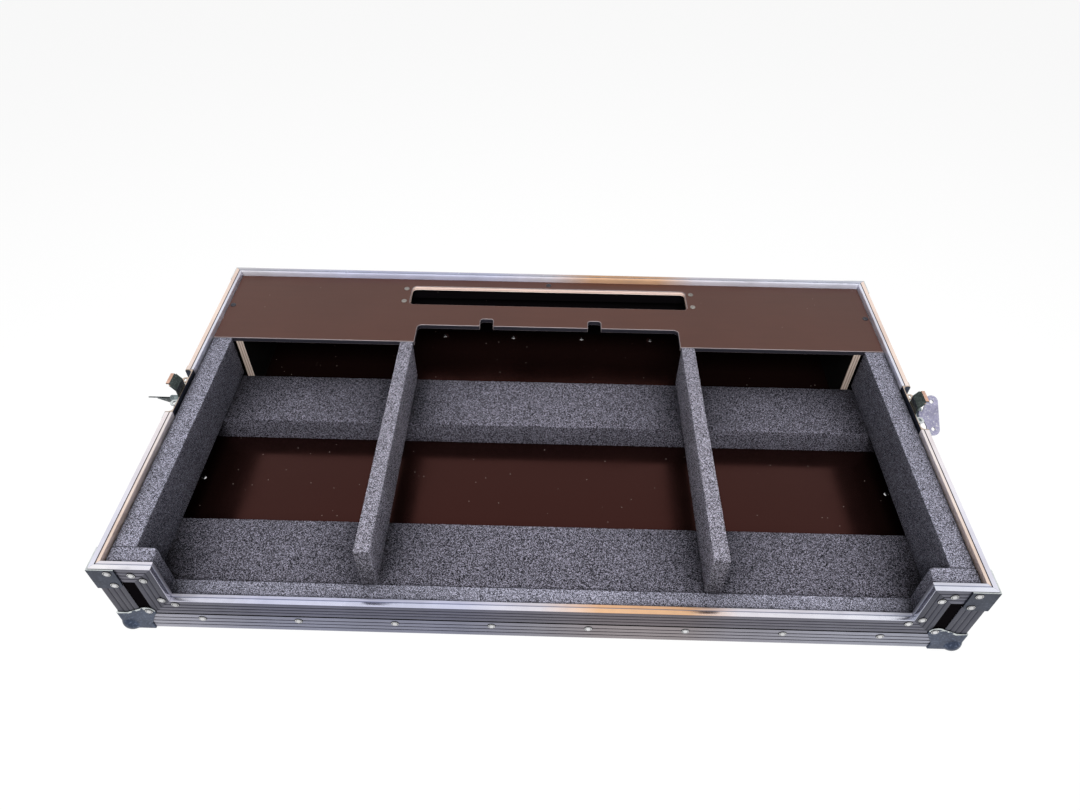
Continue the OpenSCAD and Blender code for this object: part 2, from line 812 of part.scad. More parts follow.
module latch_dish() {
    body_w = dish_w + 2 * dish_t;
    color("slategray") {
        difference() {
            union() {
                translate([-dish_d - dish_t, -body_w / 2, -dish_h - dish_t])
                    cube([dish_d + dish_t, body_w, dish_h + dish_t]);
                translate([0, -body_w / 2 - flange_w, -dish_h - dish_t - flange_w])
                    cube([dish_t, body_w + 2 * flange_w, dish_h + dish_t + flange_w - edge_r]);
            }
            dish_hollow();
            for (s = [-1, 1], z = latch_rivet_z) translate([-over, s * latch_rivet_y, -z])
                rotate([0, 90, 0]) cylinder(r = rivet_r + bore_clear, h = 2 * over + dish_t);
            for (s = [-1, 1]) translate([-over, s * latch_foot_y, -dish_h - dish_t - flange_w / 2])
                rotate([0, 90, 0]) cylinder(r = rivet_r + bore_clear, h = 2 * over + dish_t);
            for (s = [-1, 1]) translate([-dish_d - dish_t - over, s * post_y, -spindle_drop])
                rotate([0, 90, 0]) cylinder(r = stem_r + bore_clear, h = dish_t + 2 * over);
        }
        for (s = [-1, 1]) translate([-dish_d, s * loop_y, -loop_drop - dish_t])
            linear_extrude(dish_t) difference() {
                union() {
                    translate([0, -loop_w / 2]) square([dish_d - loop_w / 2, loop_w]);
                    translate([dish_d - loop_w / 2, 0]) circle(loop_w / 2);
                }
                translate([dish_d - loop_w / 2, 0])
                    square([loop_hole_d, loop_hole_w], center = true);
            }
    }
}

// Bracket that carries the spindle: a plate on two hollow stems riveted to the dish
post_y = 18;
foot_r = 6;
stem_r = 3;
stem_bore = 1.5;
hook_x = -dish_d + clear;
crank_x = hook_x + plate_t + clear;
bracket_x = crank_x + plate_t + clear;
hub_r = 9;
module latch_bracket() {
    color("slategray") translate([0, 0, -spindle_drop]) difference() {
        union() {
            translate([bracket_x, 0, 0]) rotate([0, 90, 0]) linear_extrude(plate_t) union() {
                circle(hub_r);
                square([2 * foot_r, 2 * post_y], center = true);
                for (s = [-1, 1]) translate([0, s * post_y]) circle(foot_r);
            }
            for (s = [-1, 1]) translate([-dish_d, s * post_y, 0]) rotate([0, 90, 0])
                cylinder(r = foot_r * 0.75, h = bracket_x + dish_d);
            for (s = [-1, 1]) translate([-dish_d - dish_t, s * post_y, 0]) rotate([0, 90, 0])
                cylinder(r = stem_r, h = dish_t);
        }
        translate([bracket_x - over, 0, 0]) rotate([0, 90, 0])
            cylinder(r = spindle_r + bore_clear, h = plate_t + 2 * over);
        for (s = [-1, 1]) translate([-dish_d, s * post_y, 0]) rotate([0, 90, 0])
            cylinder(r = stem_bore, h = dish_d + over);
    }
}

// Lift of a hook above its locked place, for a wing turned out of level by turn
open_stop = 46;
locked_turn = -180;
function hook_lift(turn) = hook_travel * (turn - locked_turn) / (open_stop - locked_turn);

// Hook plate, drawn at its locked height and raised: a slotted plate that leans out above
// the rim and ends in a lip
pin_r = 2.2;
slot_play = 2.3;
slot_shift = 0.5;
lip_w = 17;
shoulder_drop = 1.2;
hook_low = 13;
lean_start = 8;
module latch_hook(turn) {
    mid = -spindle_drop - crank_throw;
    rise = hook_rise - hook_travel;
    color("slategray") translate([0, 0, hook_lift(turn)]) difference() {
        translate([0, hook_w / 2, 0]) rotate([90, 0, 0]) linear_extrude(hook_w)
            polygon([[hook_x, mid - hook_low + crank_throw], [hook_x + plate_t, mid - hook_low + crank_throw],
                [hook_x + plate_t, lean_start - hook_travel], [0, rise - plate_t],
                [lip_reach, rise - plate_t], [lip_reach, rise], [-plate_t, rise],
                [hook_x, lean_start - hook_travel + plate_t]]);
        for (s = [-1, 1]) translate([-plate_t - over, s * (hook_w + lip_w) / 4 - (hook_w - lip_w) / 4,
            rise - plate_t - shoulder_drop]) translate([0, s * over / 2 - over / 2, 0])
            cube([lip_reach + plate_t + 2 * over, (hook_w - lip_w) / 2 + over, plate_t + shoulder_drop + over]);
        translate([hook_x - over, -crank_throw - pin_r - clear, mid + slot_shift - pin_r - slot_play])
            cube([plate_t + 2 * over, 2 * (crank_throw + pin_r + clear), 2 * (pin_r + slot_play)]);
    }
}

// Spindle with its crank disc and pin behind the bracket and its fork in front
crank_r = 7.4;
collar_r = 6.4;
collar_t = 0.6;
fork_w = 16;
fork_gap = 9.4;
fork_l = 3.2;
wing_pin_x = 4.2;
wing_pin_r = 1.2;
knuckle_r = 2.6;
module latch_spindle(turn) {
    collar_x = bracket_x + plate_t + clear;
    fork_x = collar_x + collar_t;
    color("silver") translate([0, 0, -spindle_drop]) rotate([turn, 0, 0]) {
        translate([crank_x, 0, 0]) rotate([0, 90, 0]) cylinder(r = crank_r, h = plate_t);
        translate([crank_x, 0, 0]) rotate([0, 90, 0]) cylinder(r = spindle_r, h = collar_x - crank_x + over);
        translate([hook_x + clear, 0, crank_throw]) rotate([0, 90, 0])
            cylinder(r = pin_r, h = crank_x - hook_x - clear + over);
        translate([collar_x, 0, 0]) rotate([0, 90, 0]) cylinder(r = collar_r, h = collar_t);
        difference() {
            union() {
                for (s = [-1, 1]) translate([fork_x - collar_t, s * (fork_gap + fork_w) / 4 - (fork_w - fork_gap) / 4, -fork_l])
                    cube([wing_pin_x - fork_x + collar_t, (fork_w - fork_gap) / 2, 2 * fork_l]);
                for (s = [-1, 1]) translate([wing_pin_x, s * (fork_gap + fork_w) / 4 - (fork_w - fork_gap) / 4, 0])
                    rotate([-90, 0, 0]) cylinder(r = fork_l, h = (fork_w - fork_gap) / 2);
            }
            translate([wing_pin_x, -fork_w / 2 - over, 0]) rotate([-90, 0, 0])
                cylinder(r = wing_pin_r + bore_clear, h = fork_w + 2 * over);
        }
    }
}

module latch_pin(turn) {
    color("silver") translate([0, 0, -spindle_drop]) rotate([turn, 0, 0])
        translate([wing_pin_x, -fork_w / 2, 0]) rotate([-90, 0, 0])
        cylinder(r = wing_pin_r, h = fork_w);
}

// Depth of the folded cheeks that stiffen a wing, at its root
cheek_h = 6;

// Folding wing: a bow-tie plate with a finger hole in each end, on a knuckle
module latch_wing(turn) {
    tongue = fork_gap - 2 * clear;
    end_x = wing_reach - wing_end_r;
    neck_x = wing_pin_x + fork_l + clear;
    color("lightsteelblue") translate([0, 0, -spindle_drop]) rotate([turn, 0, 0]) difference() {
        union() {
            translate([0, 0, -wing_t / 2]) linear_extrude(wing_t) difference() {
                union() {
                    translate([end_x - wing_end_r, -wing_holes / 2])
                        square([2 * wing_end_r, wing_holes]);
                    for (s = [-1, 1]) translate([end_x, s * wing_holes / 2]) circle(wing_end_r);
                    polygon([[neck_x, -tongue / 2], [neck_x + clear, -tongue / 2],
                        [end_x - wing_end_r / 2, -wing_holes / 2 - wing_end_r * 0.8],
                        [end_x - wing_end_r / 2, wing_holes / 2 + wing_end_r * 0.8],
                        [neck_x + clear, tongue / 2], [neck_x, tongue / 2]]);
                    translate([wing_pin_x, -tongue / 2]) square([neck_x - wing_pin_x + clear, tongue]);
                }
                for (s = [-1, 1]) translate([end_x, s * wing_holes / 2]) circle(pin_r);
            }
            translate([wing_pin_x, -tongue / 2, 0]) rotate([-90, 0, 0])
                cylinder(r = knuckle_r, h = tongue);
            for (s = [-1, 1]) translate([0, s * (tongue - wing_t) / 2 + wing_t / 2, 0])
                rotate([90, 0, 0]) linear_extrude(wing_t)
                polygon([[wing_pin_x, 0], [wing_pin_x, -knuckle_r], [neck_x, -cheek_h],
                    [end_x + wing_end_r / 2, -wing_t], [end_x + wing_end_r / 2, 0]]);
        }
        translate([wing_pin_x, -tongue / 2 - over, 0]) rotate([-90, 0, 0])
            cylinder(r = wing_pin_r + bore_clear, h = tongue + 2 * over);
    }
}

module left_latch_dish() {
    on_left() latch_dish();
}

module left_latch_bracket() {
    on_left() latch_bracket();
}

module left_latch_hook() {
    on_left() latch_hook(left_turn);
}

module left_latch_spindle() {
    on_left() latch_spindle(left_turn);
}

module left_latch_pin() {
    on_left() latch_pin(left_turn);
}

module left_latch_wing() {
    on_left() latch_wing(left_turn);
}

module right_latch_dish() {
    on_right() latch_dish();
}

module right_latch_bracket() {
    on_right() latch_bracket();
}

module right_latch_hook() {
    on_right() latch_hook(right_turn);
}

module right_latch_spindle() {
    on_right() latch_spindle(right_turn);
}

module right_latch_pin() {
    on_right() latch_pin(right_turn);
}

module right_latch_wing() {
    on_right() latch_wing(right_turn);
}

floor_panel();
front_panel();
rear_panel();
left_panel();
right_panel();
rear_rim();
left_front_rim();
left_rear_rim();
right_front_rim();
right_rear_rim();
left_post_rim();
right_post_rim();
left_step_trim();
right_step_trim();
front_low_rim();
front_bottom_angle();
rear_bottom_angle();
left_bottom_angle();
right_bottom_angle();
front_left_corner_angle();
front_right_corner_angle();
rear_left_corner_angle();
rear_right_corner_angle();
front_left_ball_corner();
front_right_ball_corner();
rear_left_ball_corner();
rear_right_ball_corner();
front_left_brace();
front_right_brace();
rear_left_brace();
rear_right_brace();
edge_rivets();
corner_rivets();
latch_rivets();
rear_deck();
left_deck_support();
right_deck_support();
left_deck_batten();
right_deck_batten();
rear_deck_batten();
deck_screws();
left_side_foam();
right_side_foam();
front_foam();
front_floor_block();
rear_floor_block();
left_divider();
right_divider();
left_latch_dish();
left_latch_bracket();
left_latch_hook();
left_latch_spindle();
left_latch_pin();
left_latch_wing();
right_latch_dish();
right_latch_bracket();
right_latch_hook();
right_latch_spindle();
right_latch_pin();
right_latch_wing();
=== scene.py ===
"""Open base tray of a flight case, dressed on its CAD frame.

Sizes are millimetres, and heights are above the shell's underside, unless a line says otherwise.
X runs to the right, Y to the rear and Z up. Lengths inside node materials are metres.
"""

import math

import bmesh
import bpy
from mathutils import Matrix, Vector, kdtree, noise


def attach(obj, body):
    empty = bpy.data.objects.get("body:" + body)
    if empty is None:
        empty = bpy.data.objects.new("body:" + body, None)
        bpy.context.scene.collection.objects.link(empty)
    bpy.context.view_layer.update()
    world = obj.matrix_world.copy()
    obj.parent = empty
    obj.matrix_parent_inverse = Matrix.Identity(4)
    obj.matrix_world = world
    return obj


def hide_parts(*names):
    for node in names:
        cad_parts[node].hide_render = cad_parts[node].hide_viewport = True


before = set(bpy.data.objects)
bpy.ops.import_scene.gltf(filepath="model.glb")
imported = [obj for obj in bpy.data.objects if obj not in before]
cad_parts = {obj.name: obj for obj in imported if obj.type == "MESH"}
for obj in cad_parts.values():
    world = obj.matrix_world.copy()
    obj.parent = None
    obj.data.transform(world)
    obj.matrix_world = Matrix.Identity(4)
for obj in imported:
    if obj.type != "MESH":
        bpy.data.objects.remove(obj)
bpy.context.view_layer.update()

SIDES = (("left", -1), ("right", 1))
ENDS = (("front", -1), ("rear", 1))

# the case
W, D, H = 870.0, 488.0, 110.0
HX, HY = W / 2, D / 2
LIFT = 5.2                  # the ball corners hold the shell this far above the ground
LOW = 52.5                  # height of the front wall between the posts
POST = 61.0                 # width of each front post
POST_X = HX - POST
WALL = 9.2                  # from the outside to the inner face of the edges
INX, INY = HX - WALL, HY - WALL
PANEL_IN = 8.2              # from the outside to the inner face of the ply
FLOOR_TOP = 10.2

# the aluminium and zinc sections
SKIN = 1.2                  # thickness of the sections
EDGE_R = 0.9                # radius of their outer edges
DISH_T = 0.9                # thickness of the latch dishes
RIM_H = 23.0                # height of the rim's ribbed face
BOTTOM_LEG = 27.0
CORNER_LEG = 25.0
CORNER_SPAN = (27.05, 86.95)  # heights between which the corner angles stand
DISH_END = 35.7             # half the gap that a latch dish makes in the side rim
CAP_T = 1.4                 # thickness of ball corners and braces

# the deck
DECK_TOP = 103.4
DECK_FRONT = 103.4          # Y of the deck's front edge
DECK_REAR = INY - 0.4
SLOT_W, SLOT_D = 372, 39    # the cable slot's width and depth
SLOT_Y = DECK_REAR - 16 - SLOT_D / 2  # Y of its middle, with 16 mm of deck behind it

# the foam
BLOCK_TOP = 43.5
BLOCK_DEPTH = 80
SIDE_FOAM = 25
FRONT_FOAM = 21
FOAM_DROP = 6.6             # how far the front foam stays below the wall's outline
DIVIDER = (170.2, 186.8)    # X of the dividers' faces
FOAM_FRONT = -INY + FRONT_FOAM  # Y where the side foam and the dividers begin
REAR_BLOCK_Y = DECK_FRONT - 6.5 - BLOCK_DEPTH  # Y of the rear block's front
SIDE_GAP, BLOCK_GAP, END_GAP = 0.2, 0.3, 0.35  # play round the pieces of foam


# ---------------------------------------------------------------- materials
def scaled(colour, k, top=None):
    """A colour times a number, and no more than top where that is given."""
    return tuple(c * k if top is None else min(top, c * k) for c in colour)


class Mat:
    """A node material, with short calls for the nodes that it is built from."""

    def __init__(self, name, colour, metallic=0.0, roughness=0.5):
        self.m = bpy.data.materials.new(name)
        self.m.use_nodes = True
        self.t = self.m.node_tree
        self.b = self.t.nodes["Principled BSDF"]
        self.b.inputs["Base Color"].default_value = (*colour, 1)
        self.b.inputs["Metallic"].default_value = metallic
        self.b.inputs["Roughness"].default_value = roughness
        self.m.diffuse_color = (*colour, 1)
        self.xyz = self.t.nodes.new("ShaderNodeTexCoord").outputs["Object"]

    def put(self, socket, value):
        """Links a socket to another's output, or sets its value."""
        if isinstance(value, bpy.types.NodeSocket):
            self.t.links.new(value, socket)
        else:
            socket.default_value = value

    def at(self, scale=(1, 1, 1), move=(0, 0, 0)):
        n = self.t.nodes.new("ShaderNodeMapping")
        self.put(n.inputs["Vector"], self.xyz)
        n.inputs["Scale"].default_value = scale
        n.inputs["Location"].default_value = move
        return n.outputs["Vector"]

    def noise(self, scale, detail=3, rough=0.5, vector=None):
        n = self.t.nodes.new("ShaderNodeTexNoise")
        self.put(n.inputs["Vector"], vector or self.xyz)
        n.inputs["Scale"].default_value = scale
        n.inputs["Detail"].default_value = detail
        n.inputs["Roughness"].default_value = rough
        return n.outputs["Fac"]

    def cells(self, scale, out, vector=None):
        n = self.t.nodes.new("ShaderNodeTexVoronoi")
        self.put(n.inputs["Vector"], vector or self.xyz)
        n.inputs["Scale"].default_value = scale
        return n.outputs[out]

    def ramp(self, fac, *stops):
        """A colour ramp; a stop is (place, colour or grey value)."""
        n = self.t.nodes.new("ShaderNodeValToRGB")
        self.put(n.inputs["Fac"], fac)
        e = n.color_ramp.elements
        while len(e) < len(stops):
            e.new(0.5)
        for k, (pos, c) in zip(e, stops):
            k.position = pos
            k.color = (*c, 1) if isinstance(c, tuple) else (c, c, c, 1)
        return n.outputs["Color"]

    def mix(self, fac, a, b, kind="MIX"):
        n = self.t.nodes.new("ShaderNodeMix")
        n.data_type = "RGBA"
        n.blend_type = kind
        self.put(n.inputs[0], fac)
        for s, v in ((n.inputs[6], a), (n.inputs[7], b)):
            self.put(s, (*v, 1) if isinstance(v, tuple) else v)
        return n.outputs[2]

    def math(self, op, a, b=0.5):
        n = self.t.nodes.new("ShaderNodeMath")
        n.operation = op
        self.put(n.inputs[0], a)
        self.put(n.inputs[1], b)
        return n.outputs[0]

    def split(self, vector=None):
        n = self.t.nodes.new("ShaderNodeSeparateXYZ")
        self.put(n.inputs[0], vector or self.xyz)
        return n.outputs

    def colour(self, value):
        self.put(self.b.inputs["Base Color"], value)

    def rough(self, value):
        self.put(self.b.inputs["Roughness"], value)

    def shine(self, value):
        self.b.inputs["Specular IOR Level"].default_value = value

    def bump(self, height, distance, strength=1.0, under=None):
        n = self.t.nodes.new("ShaderNodeBump")
        self.put(n.inputs["Height"], height)
        n.inputs["Distance"].default_value = distance
        n.inputs["Strength"].default_value = strength
        if under:
            self.put(n.inputs["Normal"], under)
        self.put(self.b.inputs["Normal"], n.outputs["Normal"])
        return n.outputs["Normal"]


def alu(name, along, base, rough, warm=0.3, fade=1.0, streak=1.0, turned=False, metal=1.0):
    """Extruded aluminium, its drawing lines running along the given axis.

    warm is how tan the middle of the length is, fade darkens its tints, streak is the strength
    of the drawing lines, and turned swaps the tints of the front and rear ends. The tints along
    the length are painted reflections, cool, grey and tan bands of a room mirrored in the metal.
    """
    m = Mat(name, base, metal, 0.3)
    k = [420, 420, 420]
    k[along] = 3
    lines = m.noise(2.0, 4, 0.6, m.at(tuple(k)))
    k = [90, 90, 90]
    k[along] = 14
    scuff = m.noise(1.0, 5, 0.7, m.at(tuple(k), (3, 1, 2)))
    cloud = m.noise(11, 4, 0.65)
    tone = m.ramp(cloud, (0.3, scaled(base, 0.80)), (0.7, scaled(base, 1.10, 1)))
    # the tints are painted reflections: bands that stand in for a room mirrored in the metal
    if along == 1:
        drift = m.math("ADD", m.math("MULTIPLY", m.split()[1], 2.0), 0.5)
        cool, tan = ((0.86, 0.88, 1.0), (1.0, 0.83, 0.73))[::-1 if turned else 1]
        tint = m.ramp(drift, (0.12, cool), (0.42, (1.0, 0.95, 0.96)), (0.62, tan))
    else:
        drift = m.math("ADD", m.split()[0], 0.5)
        tan = scaled((1.0, 1 - 0.38 * warm, 1 - 0.66 * warm), fade)
        grey = (0.96 * fade, 0.94 * fade, 0.96 * fade)
        cool = (0.80 * fade, 0.84 * fade, fade)
        tint = m.ramp(drift, (0.08, (1.0, 1.0, 1.0)), (0.22, cool), (0.42, cool), (0.50, grey),
                      (0.56, tan), (0.65, tan), (0.70, grey), (0.86, (0.90, 0.94, 1.0)))
    tone = m.mix(1.0, tone, tint, "MULTIPLY")
    tone = m.mix(m.ramp(lines, (0.35, 0.25 * streak), (0.6, 0.0)), tone, scaled(base, 0.5))
    tone = m.mix(m.ramp(lines, (0.62, 0.0), (0.8, 0.35 * streak)), tone, scaled(base, 1.7, 1))
    tone = m.mix(m.ramp(scuff, (0.60, 0.0), (0.72, 0.45)), tone, scaled(base, 0.5))
    m.colour(tone)
    m.rough(m.ramp(m.noise(45, 4, 0.6), (0.3, rough[0]), (0.75, rough[1])))
    m.bump(lines, 0.00008, 0.6 * streak)
    return m.m


def zinc(name, base, rough, flake=0.25):
    """Zinc plate with handling wear; flake is how strong its light and dark flecks are."""
    m = Mat(name, base, 1.0, 0.4)
    cloud = m.noise(60, 5, 0.65)
    grain = m.noise(900, 2, 0.5)
    tone = m.ramp(cloud, (0.3, scaled(base, 0.72)), (0.62, scaled(base, 1.15)),
                  (0.8, (base[0] * 1.7, base[1] * 1.62, base[2] * 1.5)))
    chips = m.noise(420, 3, 0.7)
    light = tuple(min(0.85, c * 3.2 + 0.05) for c in base)
    tone = m.mix(m.ramp(chips, (0.54, 0.0), (0.68, flake)), tone, light)
    tone = m.mix(m.ramp(chips, (0.30, flake), (0.42, 0.0)), tone, scaled(base, 0.45))
    m.colour(tone)
    smear = m.noise(110, 4, 0.7, m.at(move=(5, 5, 5)))
    m.rough(m.ramp(smear, (0.3, rough[0]), (0.7, rough[1])))
    m.bump(grain, 0.00003, 0.5)
    return m.m


def film_ply(name, base, shine=0.3, rough=(0.285, 0.38), tint=(1, 1, 1), dust=0.965):
    """Film-faced plywood: a satin resin film with a faint grain and specks of dust.

    dust is the share of the cells that hold no speck. Each range of roughness stays on one side
    of 0.274, because the denoiser leaves blotches where a surface runs across that value.
    """
    m = Mat(name, base, 0.0, 0.3)
    cloud = m.noise(7, 4, 0.6)
    grain = m.noise(5, 3, 0.55, m.at((3, 40, 40)))
    tone = m.ramp(cloud, (0.3, scaled(base, 0.92)), (0.7, scaled(base, 1.08)))
    tone = m.mix(m.ramp(grain, (0.45, 0.0), (0.8, 0.2)), tone, scaled(base, 0.6))
    speck = m.cells(170, "Distance")
    few = m.math("GREATER_THAN", m.split(m.cells(170, "Color"))[0], dust)
    dot = m.math("LESS_THAN", speck, 0.10)
    share = m.math("MULTIPLY", m.math("MULTIPLY", few, dot), 0.5)
    m.colour(m.mix(share, tone, (0.26, 0.22, 0.20)))
    m.rough(m.ramp(m.noise(16, 4, 0.6), (0.3, rough[0]), (0.75, rough[1])))
    m.shine(shine)
    m.b.inputs["Specular Tint"].default_value = (*tint, 1)
    m.bump(m.noise(9, 2, 0.5, m.at((1, 6, 6))), 0.0002, 0.3)
    return m.m


def bare_ply(name, across, light=(0.94, 0.74, 0.66), dark=(0.58, 0.40, 0.33)):
    """Cut plywood edge: thin plies, light and dark in turn across the board, with open grain."""
    m = Mat(name, light, 0.0, 0.65)
    waver = m.math("MULTIPLY", m.noise(12, 3, 0.5), 0.35)
    wave = m.math("ADD", m.math("MULTIPLY", m.split()[across], 1000 / 3.2), waver)
    step = m.math("FRACT", m.math("ADD", wave, 40.0))
    ply = m.ramp(step, (0.62, light), (0.70, dark))
    k = [60, 60, 60]
    k[across] = 600
    fleck = m.noise(5, 5, 0.7, m.at(tuple(k)))
    m.colour(m.mix(m.ramp(fleck, (0.45, 0.0), (0.8, 0.5)), ply, scaled(dark, 0.6)))
    m.bump(fleck, 0.0002, 0.6)
    return m.m


def foam(name, tone, seed=0.0, fine=1500, punch=1.0, reach=0.10):
    """Charcoal closed-cell foam with fine pale and dark cells, and painted shade where it meets
    others.

    fine is the number of cells in a metre, punch their contrast, and reach how far the painted
    shade goes, in metres.
    """
    m = Mat(name, tone, 0.0, 0.95)
    v = m.at(move=(seed, seed * 2, seed * 3))
    grain = m.split(m.cells(fine, "Color", v))[0]
    soft = m.noise(fine * 0.85, 2, 0.6, v)
    value = m.math("ADD", m.math("MULTIPLY", grain, 0.62), m.math("MULTIPLY", soft, 0.5))
    dark = tuple(c * 0.10 / punch ** 2 for c in tone)
    pale = tuple(min(1, c * 3.4 * punch) for c in tone)
    speck = m.ramp(value, (0.30 + 0.09 * (punch - 1), dark), (0.58, tone),
                   (0.86 - 0.07 * (punch - 1), pale))
    cloud = m.ramp(m.noise(13, 4, 0.6, v), (0.3, 0.90), (0.7, 1.06))
    # ambient occlusion darkens the colour where other surfaces are near: painted shade
    ao = m.t.nodes.new("ShaderNodeAmbientOcclusion")
    ao.samples = 6
    ao.inputs["Distance"].default_value = reach
    painted_shade = m.ramp(ao.outputs["AO"], (0.45, 0.14), (0.64, 0.36), (0.82, 0.85), (0.93, 1.10))
    # the painted shade shows in full on faces that look up, and less on upright ones
    up = m.split(m.t.nodes.new("ShaderNodeNewGeometry").outputs["Normal"])[2]
    painted_shade = m.math("ADD", m.math("MULTIPLY", painted_shade, m.ramp(up, (0.3, 0.40), (0.7, 1.0))),
                   m.ramp(up, (0.3, 0.70), (0.7, 0.0)))
    m.colour(m.mix(1.0, m.mix(1.0, speck, cloud, "MULTIPLY"), painted_shade, "MULTIPLY"))
    n = m.bump(m.cells(fine, "Distance", v), 0.0004, 0.6)
    m.bump(m.noise(150, 3, 0.6, v), 0.0004, 0.4, n)
    m.shine(0.12)
    return m.m


# roughness, warm, fade and streak of each kind of aluminium
TOP = ((0.20, 0.30), 1.0, 0.95, 0.4)
INNER = ((0.42, 0.55), 1.0, 0.95, 0.4)
FACE = ((0.24, 0.40),)
FOOT = ((0.24, 0.40), 0.3, 0.72)
DULL = ((0.4, 0.6),)
# each face of the one aluminium has its own base colour, as painted light and shade: tops and inner
# faces light, ribbed faces dark, those of the bottom angles less so, and grooves and sunk lines
# darker still
ALUMINIUM = {
    "top_x": ((0.615, 0.605, 0.65), *TOP),
    "face_x": ((0.155, 0.150, 0.182), *FACE),
    "line_x": ((0.42, 0.44, 0.54), *DULL),
    "foot_x": ((0.400, 0.395, 0.450), *FOOT),
    "groove_x": ((0.055, 0.053, 0.065), *DULL),
    "top_y": ((0.95, 0.90, 0.90), *TOP),
    "inner_y": ((0.95, 0.91, 0.90), *INNER, True),
    "face_y": ((0.155, 0.150, 0.182), *FACE),
    "line_y": ((0.085, 0.08, 0.09), *DULL),
    "foot_y": ((0.400, 0.395, 0.450), *FOOT),
    "groove_y": ((0.055, 0.053, 0.065), *DULL),
    "top_z": ((0.615, 0.605, 0.65), *TOP),
    "inner_z": ((0.56, 0.54, 0.575), *INNER),
    "face_z": ((0.074, 0.073, 0.094), *FACE),
    "line_z": ((0.42, 0.44, 0.54), *DULL),
    "groove_z": ((0.062, 0.061, 0.077), *DULL),
}
MATS = {
    **{key: alu("aluminium_" + key, "xyz".index(key[-1]), *look) for key, look in ALUMINIUM.items()},
    # painted light: the front sill and the rear rim's inner face are lighter again
    "sill": alu("aluminium_sill", 0, (0.90, 0.88, 0.95), *TOP),
    "sill_in": alu("aluminium_sill_inner", 0, (0.82, 0.79, 0.84), *INNER),
    "rear_in": alu("aluminium_rear_inner", 0, (0.72, 0.70, 0.76), *INNER, metal=0.45),
    "zinc": zinc("zinc_plate", (0.046, 0.054, 0.077), (0.25, 0.45)),
    "zinc_grey": zinc("zinc_grey", (0.20, 0.24, 0.25), (0.2, 0.36)),
    "zinc_dark": zinc("zinc_dark", (0.052, 0.066, 0.103), (0.20, 0.45), 0.5),
    "zinc_black": zinc("zinc_black", (0.045, 0.056, 0.054), (0.25, 0.45), 0.6),
    "zinc_bright": zinc("zinc_bright", (0.37, 0.36, 0.50), (0.22, 0.4), 0.7),
    "zinc_pale": zinc("zinc_pale", (0.135, 0.145, 0.150), (0.2, 0.36), 0.5),
    "worn": zinc("zinc_worn_edge", (0.58, 0.47, 0.39), (0.3, 0.45)),
    "lip": zinc("zinc_worn_lip", (0.66, 0.41, 0.31), (0.3, 0.45)),
    "bare": zinc("zinc_bare_edge", (0.66, 0.70, 0.70), (0.3, 0.45)),
    "rivet": zinc("rivet_nickel", (0.66, 0.66, 0.67), (0.14, 0.24), 0.0),
    "dull": zinc("screw_dull", (0.30, 0.28, 0.26), (0.3, 0.45)),
    # near black: painted shade in the rivets' grooves and round their rims, and in the wings' finger
    # holes
    "ring": zinc("rivet_ring_painted_shade", (0.02, 0.02, 0.022), (0.5, 0.7)),
    "screw": zinc("screw_black", (0.07, 0.07, 0.08), (0.3, 0.5)),
    "film": film_ply("brown_film_ply", (0.0535, 0.0200, 0.0138)),
    "floor": film_ply("brown_floor_ply", (0.0036, 0.0015, 0.0013), 0.46, (0.16, 0.26),
                      tint=(1, 0.30, 0.24), dust=0.90),
    "skin": film_ply("black_film_ply", (0.007, 0.0063, 0.0063), 0.05, (0.45, 0.55)),
    "dark": film_ply("black_front_ply", (0.003, 0.0025, 0.003), 0.0, (0.6, 0.7)),
    "ink": film_ply("painted_ply_edge", (0.018, 0.017, 0.023)),
    # a pale film for the deck's rounded edges: painted highlight
    "rubbed": film_ply("film_edge_painted_highlight", (0.21, 0.18, 0.185)),
    "ply_z": bare_ply("bare_ply_edge_z", 2),
    "ply_x": bare_ply("bare_ply_edge_x", 0, (0.44, 0.36, 0.31), (0.20, 0.145, 0.115)),
    "ply_y": bare_ply("bare_ply_edge_y", 1),
    "foam": foam("foam_lining", (0.113, 0.112, 0.139)),
    "block": foam("foam_block", (0.048, 0.046, 0.0575), 0.7, fine=1350, punch=1.4, reach=0.13),
    "board": foam("foam_board", (0.112, 0.108, 0.130), 0.4),
    # the dividers' sides are painted lighter and their ends darker than their tops: painted light
    # and shade
    "board_side_painted_light": foam("foam_board_side_painted_light", (0.148, 0.142, 0.170), 0.4, fine=1250, punch=1.4),
    "board_end_painted_shade": foam("foam_board_end_painted_shade", (0.046, 0.044, 0.053), 0.4, fine=1250, punch=1.4),
}


# ---------------------------------------------------------------- pieces
def w(x, y, z):
    """A point in metres above the ground, from millimetres above the shell's underside."""
    return Vector((x / 1000, y / 1000, (z + LIFT) / 1000))


def link_object(name, data):
    ob = bpy.data.objects.new(name, data)
    bpy.context.scene.collection.objects.link(ob)
    return ob


def bevelled(ob, width, segments):
    """Rounds the object's sharp edges, with a width in metres."""
    md = ob.modifiers.new("edges", "BEVEL")
    md.width = width
    md.segments = segments
    md.limit_method = "ANGLE"
    md.angle_limit = math.radians(40)
    return md


def finish(name, shape, mats, body="case", stands_for=(), bevel=0.0, angle=35.0):
    """Makes the object, rides it, and hides the CAD nodes that it stands for."""
    if isinstance(shape, bmesh.types.BMesh):
        me = bpy.data.meshes.new(name)
        shape.to_mesh(me)
        shape.free()
    else:
        me = shape
        me.name = name
    ob = link_object(name, me)
    for key in mats if isinstance(mats, (list, tuple)) else [mats]:
        me.materials.append(MATS[key])
    me.polygons.foreach_set("use_smooth", [True] * len(me.polygons))
    me.set_sharp_from_angle(angle=math.radians(angle))
    if bevel:
        bevelled(ob, bevel / 1000, 2).miter_outer = "MITER_ARC"
    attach(ob, body)
    if stands_for:
        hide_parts(*stands_for)
    return ob


